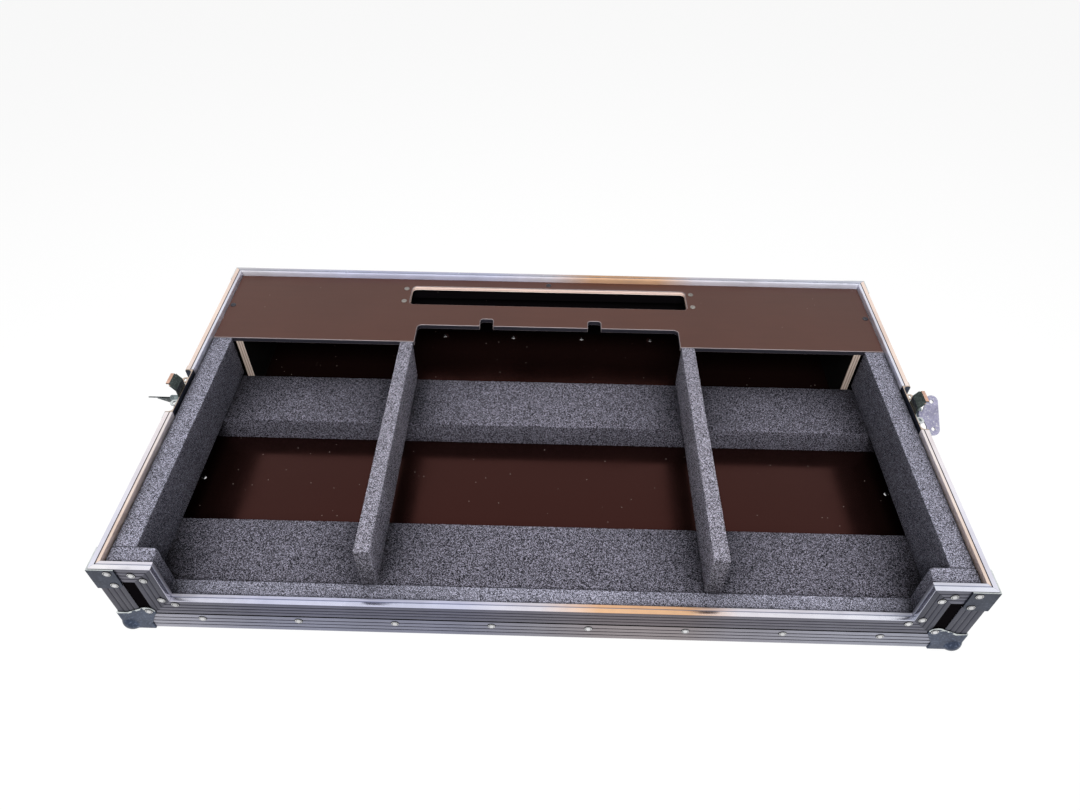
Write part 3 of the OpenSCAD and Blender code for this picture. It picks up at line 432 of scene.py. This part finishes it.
def copied(node, name, mats, body="case", bevel=0.3, pick=None, worn=None):
    """The CAD node's own solid as a clean mesh with rounded edges.

    pick chooses each face's material from its middle and normal. worn is the material's number
    for the rounded edges, which take a painted highlight.
    """
    bm = bmesh.new()
    bm.from_mesh(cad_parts[node].data)
    for f in bm.faces:
        f.material_index = 0
    bmesh.ops.remove_doubles(bm, verts=bm.verts, dist=1e-6)
    bmesh.ops.dissolve_limit(bm, angle_limit=math.radians(0.8), verts=bm.verts, edges=bm.edges)
    if pick:
        for f in bm.faces:
            f.material_index = pick(f.calc_center_median() * 1000 - Vector((0, 0, LIFT)), f.normal)
    ob = finish(name, bm, mats, body, [node], bevel=bevel)
    if worn is not None:
        md = ob.modifiers["edges"]
        md.material = worn
        md.use_clamp_overlap = False
        md.loop_slide = False
    return ob


# ---------------------------------------------------------------- aluminium edges
RIB_COUNT = 4
GROOVE_W, GROOVE_D = 1.5, 0.5
CROWN = 0.09                # how far a rib's sides lie below its middle
# across a rib: (place, share of that drop)
RIB = ((0.0, 1.0), (0.08, 0.45), (0.2, 0.15), (0.5, 0.0), (0.8, 0.15), (0.92, 0.45), (1.0, 1.0))
# the rim's top and inside, after its ribbed face: (in, down)
RIM_SHAPE = [(0.02, 0.8), (0.14, 0.42), (0.42, 0.14), (0.9, 0.0),
             (1.8, 0.0), (4.7, 0.0), (4.95, 0.12), (5.15, 0.6), (5.5, 0.8), (5.85, 0.6),
             (6.05, 0.12), (6.3, 0.0), (8.6, 0.0), (9.03, 0.17), (9.2, 0.6),
             (9.2, 9.6), (9.08, 9.9), (8.8, 10.0), (8.2, 10.0), (8.2, 2.4), (1.2, 2.4),
             (1.2, RIM_H), (0.5, RIM_H)]
INNER_U, INNER_V = 5.9, 9.7  # the rim's inner face lies beyond the first and above the second
LINE_U, LINE_V = 4.8, (0.2, 0.9)  # the sunk line along its top lies beyond and between these


def ribs(length):
    """Points (along, in) down a ribbed face, and the numbers of those inside grooves."""
    pts, deep = [], []
    pitch = length / RIB_COUNT
    for i in range(RIB_COUNT):
        a, b = i * pitch, (i + 1) * pitch
        a2 = a + (GROOVE_W / 2 if i else 0.0)
        b2 = b - (GROOVE_W / 2 if i < RIB_COUNT - 1 else 0.0)
        if i:
            pts.append((a, GROOVE_D))
            deep.append(len(pts) - 1)
        for s, d in RIB:
            pts.append((a2 + (b2 - a2) * s, CROWN * d))
    return pts, deep


def rim_profile():
    """The rim's section: (in, down) points, those in grooves, and a test for the ribbed face."""
    face, deep = ribs(RIM_H - EDGE_R)
    pts = [(d, RIM_H - s) for s, d in face] + RIM_SHAPE
    return pts, set(deep), lambda u, v: u < 0.7 and v > 0.6


def angle_profile(leg):
    """An angle's section, ribbed on both outer faces, told as rim_profile does."""
    face, deep = ribs(leg - EDGE_R)
    pts, dark = [], set()
    for i, (s, d) in reversed(list(enumerate(face))):
        if i in deep:
            dark.add(len(pts))
        pts.append((d, s + EDGE_R))
    pts += [(0.14, 0.45), (0.45, 0.14)]
    for i, (s, d) in enumerate(face):
        if i in deep:
            dark.add(len(pts))
        pts.append((s + EDGE_R, d))
    pts += [(leg, 0.6), (leg - 0.3, SKIN), (SKIN, SKIN), (SKIN, leg - 0.3), (0.6, leg)]
    return pts, dark, lambda a, b: min(a, b) < 0.8


def sweep(name, section, place, start, stop, mats, node):
    """A section carried from start to stop, where each of its points may stop at its own mitre.

    mats are for its top, ribbed face, grooves, and, where given, inner face and inner line.
    """
    pts, dark, ribbed = section
    bm = bmesh.new()
    n = len(pts)
    rings = []
    for fn, other in ((start, stop), (stop, start)):
        gap = 0.1 if other(*pts[0]) > fn(*pts[0]) else -0.1
        rings.append([bm.verts.new(place(u, v, fn(u, v) + gap)) for u, v in pts])
    for i in range(n):
        j = (i + 1) % n
        f = bm.faces.new((rings[0][i], rings[0][j], rings[1][j], rings[1][i]))
        x, y = (pts[i][0] + pts[j][0]) / 2, (pts[i][1] + pts[j][1]) / 2
        if i in dark or j in dark:
            f.material_index = 2
        elif ribbed(x, y):
            f.material_index = 1
        elif len(mats) > 3 and x > INNER_U and y < INNER_V:
            f.material_index = 3
        elif len(mats) > 3 and x > LINE_U and LINE_V[0] < y < LINE_V[1]:
            f.material_index = 4
        else:
            f.material_index = 0
    for r in rings:
        bm.faces.new(r)
    bmesh.ops.recalc_face_normals(bm, faces=bm.faces)
    return finish(name, bm, mats, stands_for=[node], angle=28)


def edges():
    rim = rim_profile()
    bottom = angle_profile(BOTTOM_LEG)
    corner = angle_profile(CORNER_LEG)
    rear = ["top_x", "face_x", "groove_x", "rear_in", "line_x"]
    front = ["sill", "face_x", "groove_x", "sill_in", "line_x"]
    side_y, step_z = [[f"{kind}_{ax}" for kind in ("top", "face", "groove", "inner", "line")]
                      for ax in "yz"]
    foot_x, foot_y = [[f"{kind}_{ax}" for kind in ("foot", "foot", "groove")] for ax in "xy"]

    sweep("rear_rim_extrusion", rim, lambda u, v, t: w(t, HY - u, H - v),
          lambda u, v: -HX + u, lambda u, v: HX - u, rear, "rear_rim")
    sweep("front_low_extrusion", rim, lambda u, v, t: w(t, -HY + u, LOW - v),
          lambda u, v: -POST_X - v, lambda u, v: POST_X + v, front, "front_low_rim")
    for side, s in SIDES:
        sweep(side + "_front_extrusion", rim, lambda u, v, t: w(s * (HX - u), t, H - v),
              lambda u, v: -HY + u, lambda u, v: -DISH_END, side_y, side + "_front_rim")
        sweep(side + "_rear_extrusion", rim, lambda u, v, t: w(s * (HX - u), t, H - v),
              lambda u, v: DISH_END, lambda u, v: HY - u, side_y, side + "_rear_rim")
        sweep(side + "_post_extrusion", rim, lambda u, v, t: w(s * t, -HY + u, H - v),
              lambda u, v: HX - u, lambda u, v: POST_X + v, front, side + "_post_rim")
        sweep(side + "_step_extrusion", rim, lambda u, v, t: w(s * (POST_X + v), -HY + u, t),
              lambda u, v: LOW - v, lambda u, v: H - v, step_z, side + "_step_trim")
        sweep(side + "_bottom_extrusion", bottom, lambda a, b, t: w(s * (HX - a), t, b),
              lambda a, b: -HY + a, lambda a, b: HY - a, foot_y, side + "_bottom_angle")
    for end, q in ENDS:
        sweep(end + "_bottom_extrusion", bottom, lambda a, b, t: w(t, q * (HY - a), b),
              lambda a, b: -HX + a, lambda a, b: HX - a, foot_x, end + "_bottom_angle")
        for side, s in SIDES:
            sweep(f"{end}_{side}_upright_extrusion", corner,
                  lambda a, b, t: w(s * (HX - a), q * (HY - b), t),
                  lambda a, b: CORNER_SPAN[0], lambda a, b: CORNER_SPAN[1],
                  step_z, f"{end}_{side}_corner_angle")


edges()


# ---------------------------------------------------------------- boards
def board_face(c, n):
    return 0 if abs(n.z) > 0.5 else 1


# the supports' faces to the sides take the black film: painted shade, for the board is brown film
# ply
def support_face(c, n):
    return 0 if abs(n.x) > 0.5 else 1


def rear_outer_face(c, n):
    """The filmed skin shows on the outside of the rear panel alone."""
    return 1 if c.y > 0 and n.y > 0.5 else 0


def deck_face(c, n):
    """The deck's top, its painted edges, and the bare edges inside the cable slot."""
    if abs(n.z) > 0.5:
        return 0
    near_slot = abs(c.x) < SLOT_W / 2 + 4 and abs(c.y - SLOT_Y) < SLOT_D / 2 + 4
    return 2 if near_slot else 1


def boards():
    copied("floor_panel", "floor_board", ("floor", "ink"), bevel=0.2,
           pick=board_face)
    for end, _ in ENDS:
        copied(end + "_panel", end + "_board", ("dark", "skin"), bevel=0.2,
               pick=rear_outer_face)
    for side, _ in SIDES:
        copied(side + "_panel", side + "_board", "skin", bevel=0.2)
        copied(side + "_deck_support", side + "_support_board", ("skin", "ply_x"),
               pick=support_face)
        copied(side + "_deck_batten", side + "_batten_strip", ("ply_z", "ply_y"),
               pick=board_face)
    # the rear batten is near black all over: painted shade under the deck
    copied("rear_deck_batten", "rear_batten_strip", "dark")
    # the deck's rounded edges take the pale film: painted highlight along them
    copied("rear_deck", "deck_board", ("film", "ink", "ply_z", "rubbed"),
           bevel=0.6, pick=deck_face, worn=3)


boards()

# ---------------------------------------------------------------- foam
CUT_R = 1.1                 # radius of a block's edges
CUT_STEP = 9.0              # length of its faces' squares
CUT_WOBBLE = 0.28           # how uneven the knife cut is


def stops(a, b):
    """Places from a to b: close together in the rounding at both ends, then at about a step."""
    k = max(1, round((b - a - 2 * CUT_R) / CUT_STEP))
    near = [0, CUT_R * 0.25, CUT_R * 0.6]
    mid = [a + CUT_R + (b - a - 2 * CUT_R) * i / k for i in range(k + 1)]
    return [a + q for q in near] + mid + [b - q for q in reversed(near)]


def foam_block(name, lo, hi, node, mat="foam", seed=0):
    """A block cut from sheet foam: soft edges and an uneven knife cut, flat where it stands.

    Three materials are for its level faces, its sides and its ends; on the dividers the sides carry
    painted light and the ends painted shade.
    """
    axes = [stops(lo[k], hi[k]) for k in range(3)]
    bm = bmesh.new()
    seen = {}

    def vert(p):
        key = tuple(round(q, 4) for q in p)
        if key not in seen:
            core = Vector([min(max(p[k], lo[k] + CUT_R), hi[k] - CUT_R) for k in range(3)])
            off = Vector(p) - core
            n = off.normalized() if off.length > 1e-6 else Vector((0, 0, 0))
            q = core + n * CUT_R if off.length > 1e-6 else Vector(p)
            s = q / 46 + Vector((seed * 3.1, seed * 1.7, seed))
            d = CUT_WOBBLE * (noise.noise(s) - 0.55)
            d += CUT_WOBBLE * 0.5 * (noise.noise(s * 4.3) - 0.3)
            if n.z < -0.5:
                d = 0
            seen[key] = bm.verts.new(w(*(q + n * min(d, 0.0))))
        return seen[key]

    for k in range(3):
        i, j = (k + 1) % 3, (k + 2) % 3
        for end in (lo[k], hi[k]):
            for a in range(len(axes[i]) - 1):
                for b in range(len(axes[j]) - 1):
                    quad = []
                    for u, v in ((a, b), (a + 1, b), (a + 1, b + 1), (a, b + 1)):
                        p = [0, 0, 0]
                        p[k], p[i], p[j] = end, axes[i][u], axes[j][v]
                        quad.append(vert(p))
                    if len(set(quad)) == 4:
                        bm.faces.new(quad)
    bmesh.ops.recalc_face_normals(bm, faces=bm.faces)
    if isinstance(mat, tuple):
        for f in bm.faces:
            f.normal_update()
            f.material_index = 1 if abs(f.normal.x) > 0.7 else 2 if abs(f.normal.y) > 0.7 else 0
    ob = finish(name, bm, mat, stands_for=[node], angle=60)


def front_pad():
    """The foam along the front wall, cut to the wall's stepped outline."""
    px, low, top_r = POST_X + FOAM_DROP, LOW - FOAM_DROP, 4
    xi = INX - BLOCK_GAP

    def rounded(cx, a0, steps=6):
        """The quarter round where a post's top meets its step."""
        for i in range(steps + 1):
            a = math.radians(a0 + 90 * i / steps)
            yield cx + top_r * math.cos(a), DECK_TOP - top_r + top_r * math.sin(a)

    out = [(-xi, FLOOR_TOP), (xi, FLOOR_TOP), (xi, DECK_TOP), *rounded(px + top_r, 90),
           (px, low), (-px, low), *rounded(-px - top_r, 0), (-xi, DECK_TOP)]
    bm = bmesh.new()
    face = bm.faces.new([bm.verts.new(w(x, -INY + BLOCK_GAP, z)) for x, z in out])
    got = bmesh.ops.extrude_face_region(bm, geom=[face])
    bmesh.ops.translate(bm, verts=[v for v in got["geom"] if isinstance(v, bmesh.types.BMVert)],
                        vec=(0, (FRONT_FOAM - END_GAP) / 1000, 0))
    bmesh.ops.recalc_face_normals(bm, faces=bm.faces)
    ob = finish("front_pad", bm, "foam", stands_for=["front_foam"], angle=60)
    bevelled(ob, CUT_R / 1000, 3)


def pads():
    y0, y1 = FOAM_FRONT + END_GAP, DECK_FRONT - END_GAP
    for side, s in SIDES:
        a, b = sorted((s * (INX - SIDE_GAP), s * (INX - SIDE_FOAM)))
        foam_block(side + "_side_pad", (a, y0, BLOCK_TOP), (b, y1, DECK_TOP),
                   side + "_side_foam", seed=1 + s)
        a, b = sorted(s * x for x in DIVIDER)
        foam_block(side + "_divider_pad", (a, y0, BLOCK_TOP), (b, y1, DECK_TOP),
                   side + "_divider", ("board", "board_side_painted_light", "board_end_painted_shade"),
                   seed=4 + s)
    bx, top = INX - BLOCK_GAP, BLOCK_TOP - 0.05
    foam_block("front_floor_pad", (-bx, FOAM_FRONT + BLOCK_GAP, FLOOR_TOP),
               (bx, FOAM_FRONT + BLOCK_DEPTH, top), "front_floor_block", "block", seed=7)
    foam_block("rear_floor_pad", (-bx, REAR_BLOCK_Y, FLOOR_TOP),
               (bx, REAR_BLOCK_Y + BLOCK_DEPTH, top), "rear_floor_block", "block", seed=9)
    front_pad()


pads()

# ---------------------------------------------------------------- rivets and screws
# (radius, height) from the axis outwards: a rivet's dome, its groove, its ring and its rim; the
# groove and the rim are near black, as painted shade
RIVET_DOME = [(0, 1.68), (0.7, 1.64), (1.4, 1.48), (2.0, 1.18), (2.35, 0.85), (2.5, 0.62)]
RIVET_GROOVE = [(2.5, 0.62), (2.62, 0.45), (2.95, 0.45), (3.1, 0.58)]
RIVET_RING = [(3.1, 0.58), (3.3, 0.70), (3.6, 0.68), (3.75, 0.56)]
RIVET_RIM = [(3.75, 0.56), (4.2, 0.3), (4.4, 0)]
SCREW = [(0, 0.75), (0.5, 0.75), (0.9, 1.42), (2.2, 1.32), (3.2, 0.9), (3.7, 0.2), (3.7, 0)]
TAIL_R, TAIL_EDGE, TAIL_SIDES = 3.3, 0.1, 18

# places of the bottom angles' rivets along the case, and up or in from its edge
ALONG_X, ALONG_Y = range(-350, 351, 100), range(-150, 151, 100)
LEG_IN = 20
EAR = 34.5                  # the ball corners' ears, in from both edges
BRACE = [(17.7, H - 6.5), (17.7, H - 26.8)]  # (in from the corner, height)
TRIM = [(POST - 22, H - 10.8), (POST - 13, H - 19.4), (POST - 7, LOW + 2.5),
        (POST + 4.1, LOW - 5.6)]  # on the front of each post
# the latch dishes' rivets: those at each side of the dish, and those under it
DISH_SIDE, DISH_UPPER, DISH_LOWER = 39.1, H - 8, H - 37
DISH_FOOT, DISH_FOOT_Z = 16, H - 49.9
SIDE_SCREW, REAR_SCREW = (419.4, DECK_FRONT + 65.5), (0, INY - 8.4)
SLOT_SCREW = (SLOT_W / 2 + 7.6, SLOT_D * 0.345)  # from the cable slot's middle


def lathe(bm, prof, where, n=28, mat=0):
    """A turned shape: prof is (radius, height) from the axis outwards and down."""
    rings = []
    for r, h in prof:
        if r < 1e-6:
            rings.append([bm.verts.new(where @ (Vector((0, 0, h)) / 1000))])
            continue
        turn = [2 * math.pi * i / n for i in range(n)]
        rings.append([bm.verts.new(where @ (Vector((r * math.cos(a), r * math.sin(a), h)) / 1000))
                      for a in turn])
    for p, q in zip(rings, rings[1:]):
        for i in range(n):
            j = (i + 1) % n
            c = [p[i % len(p)], q[i % len(q)], q[j % len(q)], p[j % len(p)]]
            c = [v for k, v in enumerate(c) if v not in c[:k]]
            if len(c) > 2:
                bm.faces.new(c).material_index = mat


def tail(h, steps=4):
    """The section of a rivet's domed tail, h high."""
    pts = [(0.0, h)]
    for i in range(1, steps + 1):
        a = math.radians(90 * i / steps)
        pts.append((TAIL_R * math.sin(a) * 0.985, TAIL_EDGE + (h - TAIL_EDGE) * math.cos(a)))
    return pts + [(TAIL_R, TAIL_EDGE * 0.7), (TAIL_R, 0.0)]


def toward(x, y, z, axis):
    """A frame at a point whose Z looks along the axis."""
    turn = Vector(axis).to_track_quat("Z", "Y").to_matrix().to_4x4()
    return Matrix.Translation(w(x, y, z)) @ turn


def rivets(name, places, node, tails=False):
    """Rivet heads at (x, y, z, axis), and their tails inside the case where asked for."""
    bm = bmesh.new()
    for x, y, z, ax in places:
        k = toward(x, y, z, ax)
        lathe(bm, RIVET_DOME, k)
        lathe(bm, RIVET_GROOVE, k, mat=1)
        lathe(bm, RIVET_RING, k)
        lathe(bm, RIVET_RIM, k, mat=1)
        if tails:
            deep = FLOOR_TOP if ax[2] else PANEL_IN
            k = toward(x - ax[0] * deep, y - ax[1] * deep, z - ax[2] * deep, [-q for q in ax])
            lathe(bm, tail(1.35 if ax[2] else 0.75), k, TAIL_SIDES)
    bmesh.ops.recalc_face_normals(bm, faces=bm.faces)
    finish(name, bm, ("rivet", "ring"), stands_for=[node], angle=50)


def all_rivets():
    edge, corner, flange = [], [], []
    down = (0, 0, -1)
    for s in (-1, 1):
        for x in ALONG_X:
            edge += [(x, s * HY, LEG_IN, (0, s, 0)), (x, s * (HY - LEG_IN), 0, down)]
        for y in ALONG_Y:
            edge += [(s * HX, y, LEG_IN, (s, 0, 0)), (s * (HX - LEG_IN), y, 0, down)]
        for q in (-1, 1):
            corner.append((s * (HX - EAR), q * (HY - EAR), -CAP_T, down))
            corner.append((s * (HX - EAR), q * (HY + CAP_T), EAR, (0, q, 0)))
            corner.append((s * (HX + CAP_T), q * (HY - EAR), EAR, (s, 0, 0)))
            for a, z in BRACE:
                corner.append((s * (HX - a), q * (HY + CAP_T), z, (0, q, 0)))
                corner.append((s * (HX + CAP_T), q * (HY - a), z, (s, 0, 0)))
        for a, z in TRIM:
            corner.append((s * (HX - a), -HY, z, (0, -1, 0)))
        for q in (-1, 1):
            for z in (DISH_UPPER, DISH_LOWER):
                flange.append((s * (HX + DISH_T), q * DISH_SIDE, z, (s, 0, 0)))
            flange.append((s * (HX + DISH_T), q * DISH_FOOT, DISH_FOOT_Z, (s, 0, 0)))
    rivets("edge_rivet_heads", edge, "edge_rivets", tails=True)
    rivets("corner_rivet_heads", corner, "corner_rivets")
    rivets("latch_rivet_heads", flange, "latch_rivets")


def screws():
    """Black screws that hold the deck, and dull ones beside the cable slot."""
    black = [(-SIDE_SCREW[0], SIDE_SCREW[1]), SIDE_SCREW, REAR_SCREW]
    dull = [(a * SLOT_SCREW[0], SLOT_Y + b * SLOT_SCREW[1]) for a in (-1, 1) for b in (-1, 1)]
    bm = bmesh.new()
    for mat, places in enumerate((black, dull)):
        for x, y in places:
            lathe(bm, SCREW, toward(x, y, DECK_TOP, (0, 0, 1)), 24, mat)
    bmesh.ops.recalc_face_normals(bm, faces=bm.faces)
    finish("deck_screw_heads", bm, ("screw", "dull"),
           stands_for=["deck_screws"], angle=40)


all_rivets()
screws()

# ---------------------------------------------------------------- pressed steel
BALL_VOXEL, BALL_KEPT = 0.0005, 0.22  # metres, and the share of triangles kept
COLLAR_Z = LIFT + 22        # the ball corners' raised collar lies above this


def pressed_ball(node, name):
    """The ball corner with its sharp joins drawn out into the soft ones of a pressing."""
    bm = bmesh.new()
    bm.from_mesh(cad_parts[node].data)
    bmesh.ops.remove_doubles(bm, verts=bm.verts, dist=1e-6)
    for f in bm.faces:
        f.material_index = 0
    me = bpy.data.meshes.new(name)
    bm.to_mesh(me)
    bm.free()
    ob = link_object(name, me)
    skin = ob.modifiers.new("skin", "REMESH")
    skin.mode = "VOXEL"
    skin.voxel_size = BALL_VOXEL
    soft = ob.modifiers.new("soft", "SMOOTH")
    soft.factor = 0.5
    soft.iterations = 5
    light = ob.modifiers.new("light", "DECIMATE")
    light.ratio = BALL_KEPT
    dg = bpy.context.evaluated_depsgraph_get()
    out = bpy.data.meshes.new_from_object(ob.evaluated_get(dg))
    bpy.data.objects.remove(ob)
    out.materials.clear()
    # the collar's edge is rubbed bare in a band of uneven width
    collar = [f.center for f in out.polygons if f.normal.z > 0.55 and f.center.z * 1000 > COLLAR_Z]
    near = kdtree.KDTree(len(collar))
    for i, c in enumerate(collar):
        near.insert(c, i)
    near.balance()
    for f in out.polygons:
        reach = (1.2 + 4.0 * noise.noise(f.center * 230)) / 1000
        f.material_index = 1 if near.find(f.center)[2] < max(reach, 0.0001) else 0
    finish(name, out, ("zinc_dark", "bare"), stands_for=[node], angle=60)


def upper_face(c, n):
    return 1 if n.z > 0.5 else 0


for end, _ in ENDS:
    for side, _ in SIDES:
        copied(f"{end}_{side}_brace", f"{end}_{side}_brace_plate", ("zinc", "bare"),
               bevel=0.35, pick=upper_face)
for end, _ in ENDS:
    for side, _ in SIDES:
        pressed_ball(f"{end}_{side}_ball_corner", f"{end}_{side}_ball_pressing")

# ---------------------------------------------------------------- latches
HOOK_LIP_Z = 115            # the hook's lip is above this
DISH_TOP_Z = 109.4          # the dish's own top edge is above this
HOLE_X = 454.6              # how far out the wings' finger holes are
HOLE_R = 2.9                # a little more than their radius
# each wing as it rests: its plate's normal, and its finger holes as (y, height above the ground)
WINGS = {
    1: (Vector((0, 0.5592, -0.829)), ((-13.51, 93.09), (13.51, 111.31))),
    -1: (Vector((0, -0.7193, -0.6947)), ((11.32, 90.47), (-11.32, 113.93))),
}


def hook_face(c, n):
    """The hook's lip is rubbed."""
    return 1 if n.z > 0.7 and c.z > HOOK_LIP_Z else 0


def dish_face(c, n):
    """The dish's upward faces are rubbed; those below its top edge, on its front half, are bare."""
    if n.z < 0.7:
        return 0
    return 2 if c.z < DISH_TOP_Z and c.y < 0 else 1


def wing_face(c, n):
    """The finger holes' walls take near-black painted shade inside."""
    flat, holes = WINGS[1 if c.x > 0 else -1]
    for y, z in holes:
        d = c - Vector((math.copysign(HOLE_X, c.x), y, z - LIFT))
        if abs(n.dot(flat)) < 0.5 and (d - flat * d.dot(flat)).length < HOLE_R:
            return 1
    return 0


def latch(side, wing_zinc):
    def part(node, name, mats, body="case", bevel=0.2, pick=None):
        copied(f"{side}_latch_{node}", f"{side}_{name}", mats, body, bevel, pick)

    hook, spindle, wing = side + "_hook", side + "_spindle", side + "_wing"
    part("dish", "dish_pressing", ("zinc", "worn", "bare"), pick=dish_face)
    part("bracket", "bracket_pressing", "zinc_grey", bevel=0.25)
    part("hook", "hook_pressing", ("zinc_black", "lip"), hook, bevel=0.25, pick=hook_face)
    part("spindle", "spindle_casting", "zinc_grey", spindle)
    part("pin", "pin_turning", "zinc_grey", spindle, bevel=0.15)
    part("wing", "wing_pressing", (wing_zinc, "ring"), wing, bevel=0.3,
         pick=wing_face)


# the right wing takes a lighter, bluer zinc than the left, though the two are alike: painted light
latch("left", "zinc_pale")
latch("right", "zinc_bright")


# ---------------------------------------------------------------- studio
def seen_rays(tree):
    """1 on rays from the camera and on those that glossy or clear surfaces send on, else 0."""
    path = tree.nodes.new("ShaderNodeLightPath")
    out = path.outputs["Is Camera Ray"]
    for ray in ("Is Glossy Ray", "Is Transmission Ray"):
        n = tree.nodes.new("ShaderNodeMath")
        n.operation = "MAXIMUM"
        tree.links.new(out, n.inputs[0])
        tree.links.new(path.outputs[ray], n.inputs[1])
        out = n.outputs[0]
    return out


def mix_shaders(tree, fac, a, b, surface):
    mix = tree.nodes.new("ShaderNodeMixShader")
    for socket, out in zip(mix.inputs, (fac, a, b)):
        tree.links.new(out, socket)
    tree.links.new(mix.outputs[0], surface)


def pale_floor():
    """A matt floor that keeps shadows and looks nearly white to the camera and to metal."""
    bm = bmesh.new()
    bmesh.ops.create_grid(bm, x_segments=1, y_segments=1, size=6)
    me = bpy.data.meshes.new("studio_floor")
    bm.to_mesh(me)
    bm.free()
    link_object("studio_floor", me)
    m = bpy.data.materials.new("studio_floor")
    m.use_nodes = True
    t = m.node_tree
    b = t.nodes["Principled BSDF"]
    b.inputs["Base Color"].default_value = (0.86, 0.86, 0.86, 1)
    b.inputs["Roughness"].default_value = 0.9
    b.inputs["Specular IOR Level"].default_value = 0.0
    white = t.nodes.new("ShaderNodeEmission")
    share = t.nodes.new("ShaderNodeMath")
    share.operation = "MULTIPLY"
    share.inputs[1].default_value = 0.93
    t.links.new(seen_rays(t), share.inputs[0])
    mix_shaders(t, share.outputs[0], b.outputs[0], white.outputs[0],
                t.nodes["Material Output"].inputs["Surface"])
    me.materials.append(m)


def white_world():
    """A faint light on the object, and white where it is seen."""
    world = bpy.data.worlds.new("studio")
    bpy.context.scene.world = world
    world.use_nodes = True
    t = world.node_tree
    light = t.nodes["Background"]
    light.inputs["Color"].default_value = (0.93, 0.96, 1.0, 1)
    light.inputs["Strength"].default_value = 0.06
    seen = t.nodes.new("ShaderNodeBackground")
    seen.inputs["Color"].default_value = (1, 1, 1, 1)
    seen.inputs["Strength"].default_value = 1.0
    mix_shaders(t, seen_rays(t), light.outputs[0], seen.outputs[0],
                t.nodes["World Output"].inputs["Surface"])


def lamp(name, where, size, power):
    """A soft lamp aimed at the case, which metal doesn't mirror."""
    li = bpy.data.lights.new(name, "AREA")
    li.shape = "RECTANGLE"
    li.size, li.size_y = size
    li.energy = power
    li.spread = math.radians(60)
    ob = link_object(name, li)
    ob.location = where
    aim = Vector((0, 0, 0.05)) - Vector(where)
    ob.rotation_euler = aim.to_track_quat("-Z", "Y").to_euler()
    ob.visible_glossy = False


def camera():
    """The photo's camera, solved from its vanishing lines."""
    cam = bpy.data.cameras.new("camera")
    cam.sensor_width = 36
    cam.lens = 26.033
    cam.clip_start = 0.01
    ob = link_object("camera", cam)
    right = Vector((0.9996677, 0.0242039, 0.0088641))
    up = Vector((-0.0234915, 0.7139597, 0.6997926))
    back = Vector((0.0106091, -0.6997683, 0.7142911))
    turn = Matrix((right, up, back)).transposed().to_4x4()
    ob.matrix_world = Matrix.Translation((0.003369, -0.644725, 0.762329)) @ turn
    bpy.context.scene.camera = ob


bpy.context.scene.view_settings.view_transform = "Standard"
pale_floor()
white_world()
lamp("key", where=(0, -1.5, 1.85), size=(2.4, 0.8), power=16.5)
lamp("top", where=(0, 0.05, 2.2), size=(2.2, 0.9), power=5)
camera()
